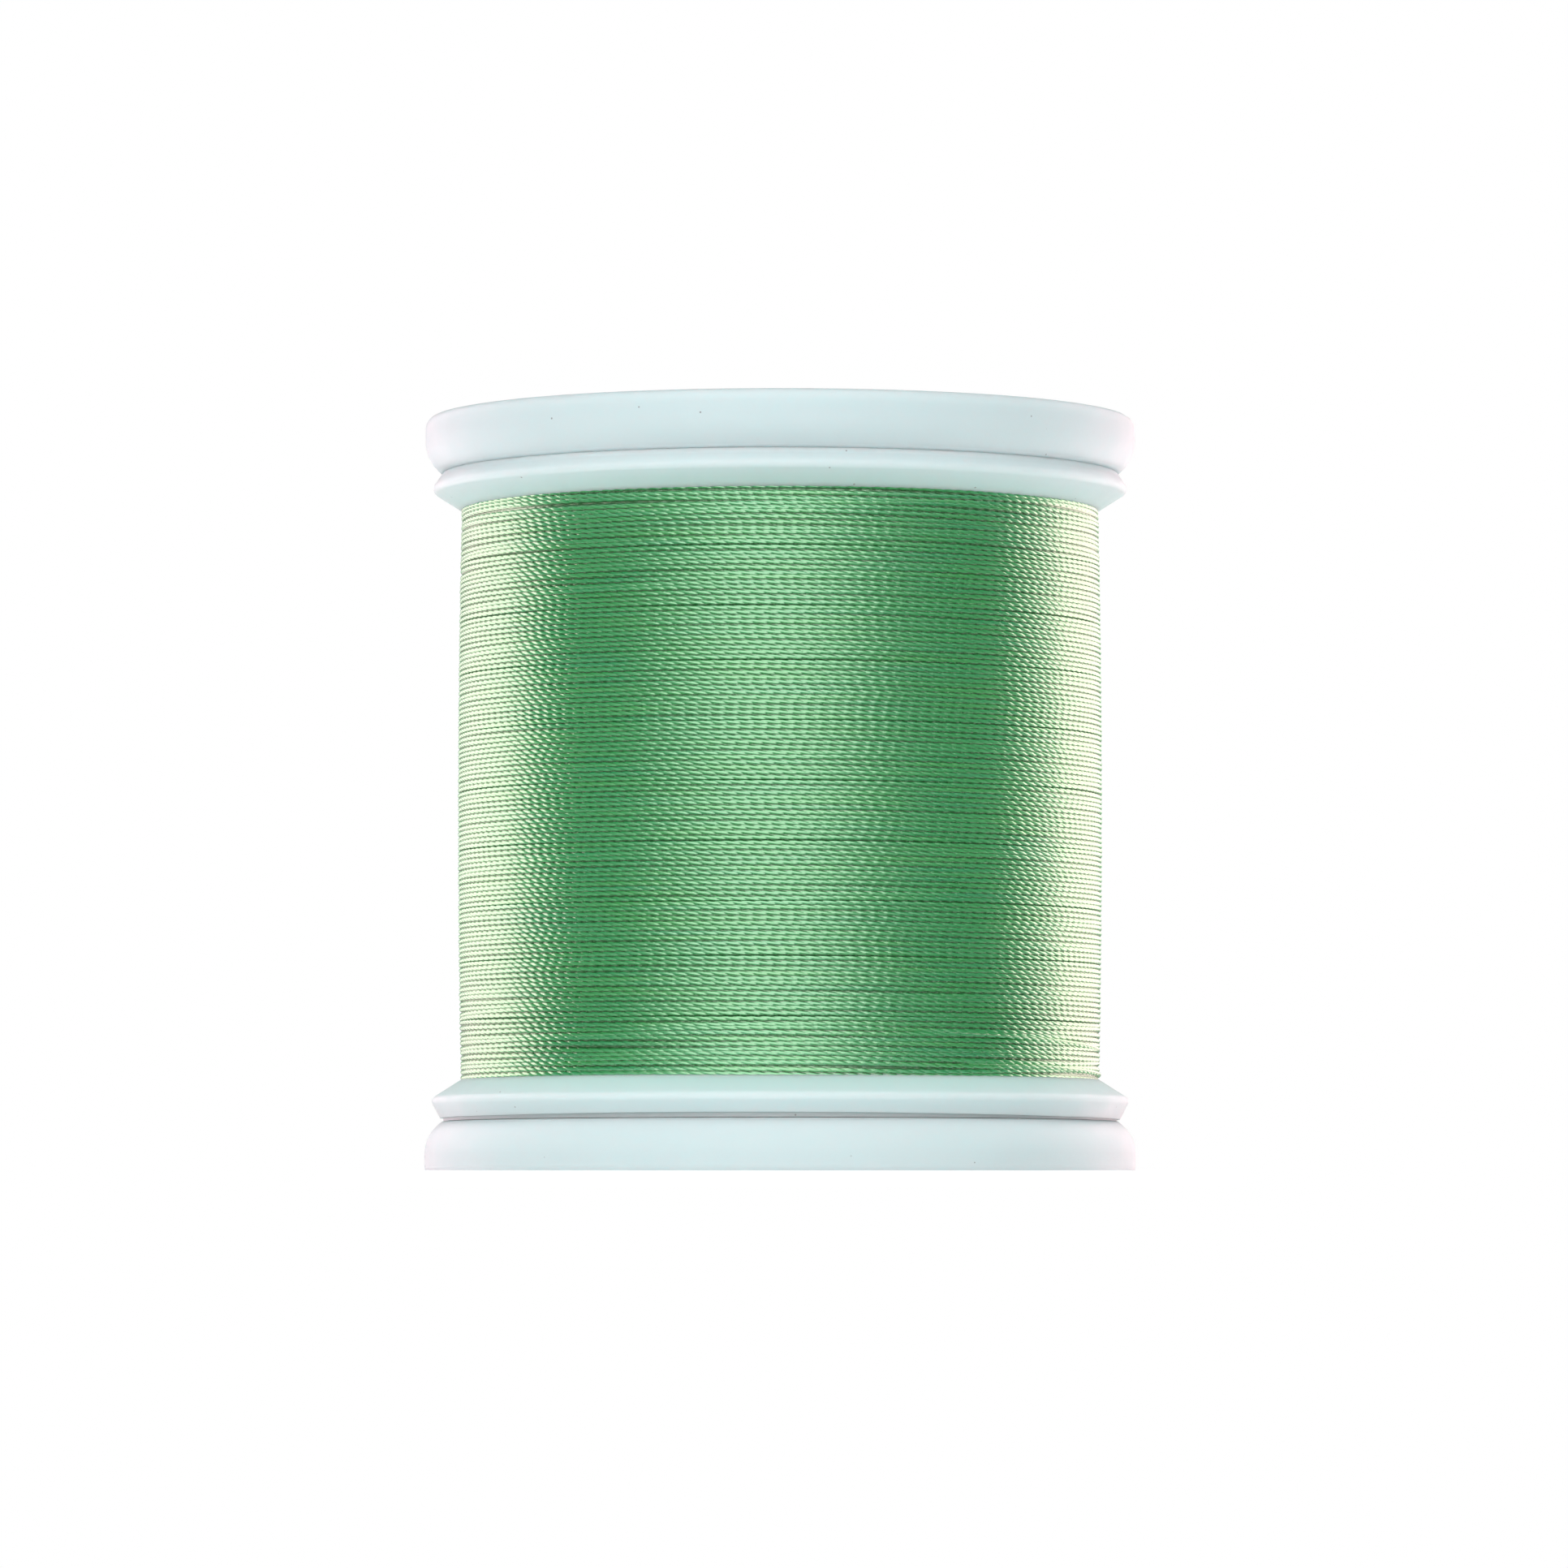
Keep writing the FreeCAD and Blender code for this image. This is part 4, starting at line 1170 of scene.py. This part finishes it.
# %% [markdown]
# ## Table edge
#
# The table's front edge stands between the camera and the spool. From the camera it hides
# the underside of the cap and the lowest part of its side, as in the photo, where the picture
# ends there. It could be a strip right in front of the cap, but then every other view would
# see it too. So it stands close to the camera: its corners lie about an eighth of the way
# along the lines from the camera to what they hide.


# %% Table edge
EDGE_HIDES_FROM = -0.4 * MM
EDGE_HIDES_TO = 0.245 * MM
EDGE_HALF = 20.0 * MM
EDGE_SHARE = 0.12


def make_edge_material():
    """Plain white that no lamp changes."""
    material, tree, shader = new_material("white_edge", Roughness=0.6, Emission_Strength=1.0)
    feed(tree, (1.0, 1.0, 1.0), shader.inputs["Emission Color"])
    feed(tree, (0.0, 0.0, 0.0), shader.inputs["Base Color"])
    make_one_sided(tree, shader)
    return material


eye = np.array(CAMERA_PLACE)
hidden_corners = np.array([(-EDGE_HALF, -CAP_RADIUS, EDGE_HIDES_FROM),
                           (EDGE_HALF, -CAP_RADIUS, EDGE_HIDES_FROM),
                           (EDGE_HALF, -CAP_RADIUS, EDGE_HIDES_TO),
                           (-EDGE_HALF, -CAP_RADIUS, EDGE_HIDES_TO)])
edge_corners = eye + (hidden_corners - eye) * EDGE_SHARE
table_edge = add_card("table_edge", edge_corners, make_edge_material())
table_edge.visible_glossy = False
table_edge.visible_diffuse = False
table_edge.visible_shadow = False
print(f"table edge {np.linalg.norm(edge_corners[0] - eye) / MM:.0f} mm from the camera")

# %% [markdown]
# ## Lamps
#
# The light is soft, and a shiny line shows each lamp as an upright band: a strand that faces
# an angle mirrors what stands at twice that angle. So the lamps that light the colour and
# those that make the bands are set apart. The front lamp and the fills light the colour and
# aren't mirrored. The wide front shine and the narrower front band are only mirrored, and
# they are tall, so that the middle of the winding is smooth and not dotted. Two warm lamps
# beside and behind the spool, also only mirrored, give the pale bands at its edges. A fill
# from below lights the slopes that face down. Only the top lamp lights the colour and shines.


# %% Lamps
WHITE = (1.0, 1.0, 1.0)
WARM_LEFT = (1.0, 0.68, 0.77)
WARM_RIGHT = (1.0, 0.67, 0.72)


def add_lamp(name, azimuth, elevation, distance, width, height, radiance, colour=WHITE, only=None):
    """Soft oval lamp that looks at the spool, placed by angles about its middle.

    Azimuth 0 is the camera's side and 90 the right. A lamp's power is its radiance times
    pi times its area, which is pi / 4 times width and height. It can light only the colour,
    or make only the shine.
    """
    data = bpy.data.lights.new(name, "AREA")
    data.shape = "ELLIPSE"
    data.size, data.size_y = width, height
    data.energy = radiance * math.pi * math.pi / 4 * width * height
    data.color = colour
    lamp = bpy.data.objects.new(name, data)
    turn, rise = math.radians(azimuth), math.radians(elevation)
    away = np.array([math.sin(turn) * math.cos(rise), -math.cos(turn) * math.cos(rise),
                     math.sin(rise)])
    lamp.location = away * distance + (0, 0, TOTAL_HEIGHT / 2)
    lamp.rotation_euler = (math.pi / 2 - rise, 0, turn)
    lamp.visible_camera = False
    lamp.visible_glossy = only != "colour"
    lamp.visible_diffuse = only != "shine"
    bpy.context.scene.collection.objects.link(lamp)
    return lamp


add_lamp("front_lamp", -6, 19, 0.6, 0.80, 0.70, 2.22, only="colour")
add_lamp("front_band", -5, 6, 0.6, 0.74, 1.30, 1.20, only="shine")
add_lamp("under_fill", -3, -35, 0.2, 0.30, 0.20, 0.38, only="colour")
add_lamp("front_shine", -2, 6, 0.6, 2.20, 1.30, 0.46, only="shine")
add_lamp("left_lamp", -129, 5, 0.5, 0.60, 0.70, 2.9, WARM_LEFT, only="shine")
add_lamp("right_lamp", 134, 5, 0.5, 0.56, 0.70, 3.5, WARM_RIGHT, only="shine")
add_lamp("left_fill", -95, 4, 0.5, 0.34, 0.27, 1.35, only="colour")
add_lamp("right_fill", 110, 4, 0.5, 0.34, 0.27, 1.8, only="colour")
add_lamp("top_lamp", 0, 80, 0.6, 0.55, 0.55, 1.8)
print("lamps:", len(bpy.data.lights))

# %% [markdown]
# ## Bounced light
#
# At the spool's far left and right the photo stays bright on the caps and flanges, because
# the white table and walls throw light back there. A bigger fill would also flatten the dark
# bands of the line. So four small lamps lie flat close to the two sides. The low ones shine up
# and the high ones down, and they light only the colour.


# %% Bounced light
BOUNCE_DISTANCE = 30.0 * MM
BOUNCE_SIZE = (20.0 * MM, 60.0 * MM)
for side_name, azimuth in (("left", -90), ("right", 90)):
    for level, elevation, radiance, turn in (("low", -20, 1.4, math.pi), ("high", 20, 0.7, 0)):
        bounce = add_lamp(f"{side_name}_{level}_bounce", azimuth, elevation, BOUNCE_DISTANCE,
                          *BOUNCE_SIZE, radiance, only="colour")
        bounce.rotation_euler = (turn, 0, 0)
print("lamps with the bounces:", len(bpy.data.lights))

# %% [markdown]
# ## View settings
#
# The view settings stay plain, so a colour shows about as it is written.

# %% Finish
bpy.context.scene.view_settings.view_transform = "Standard"
bpy.context.view_layer.update()
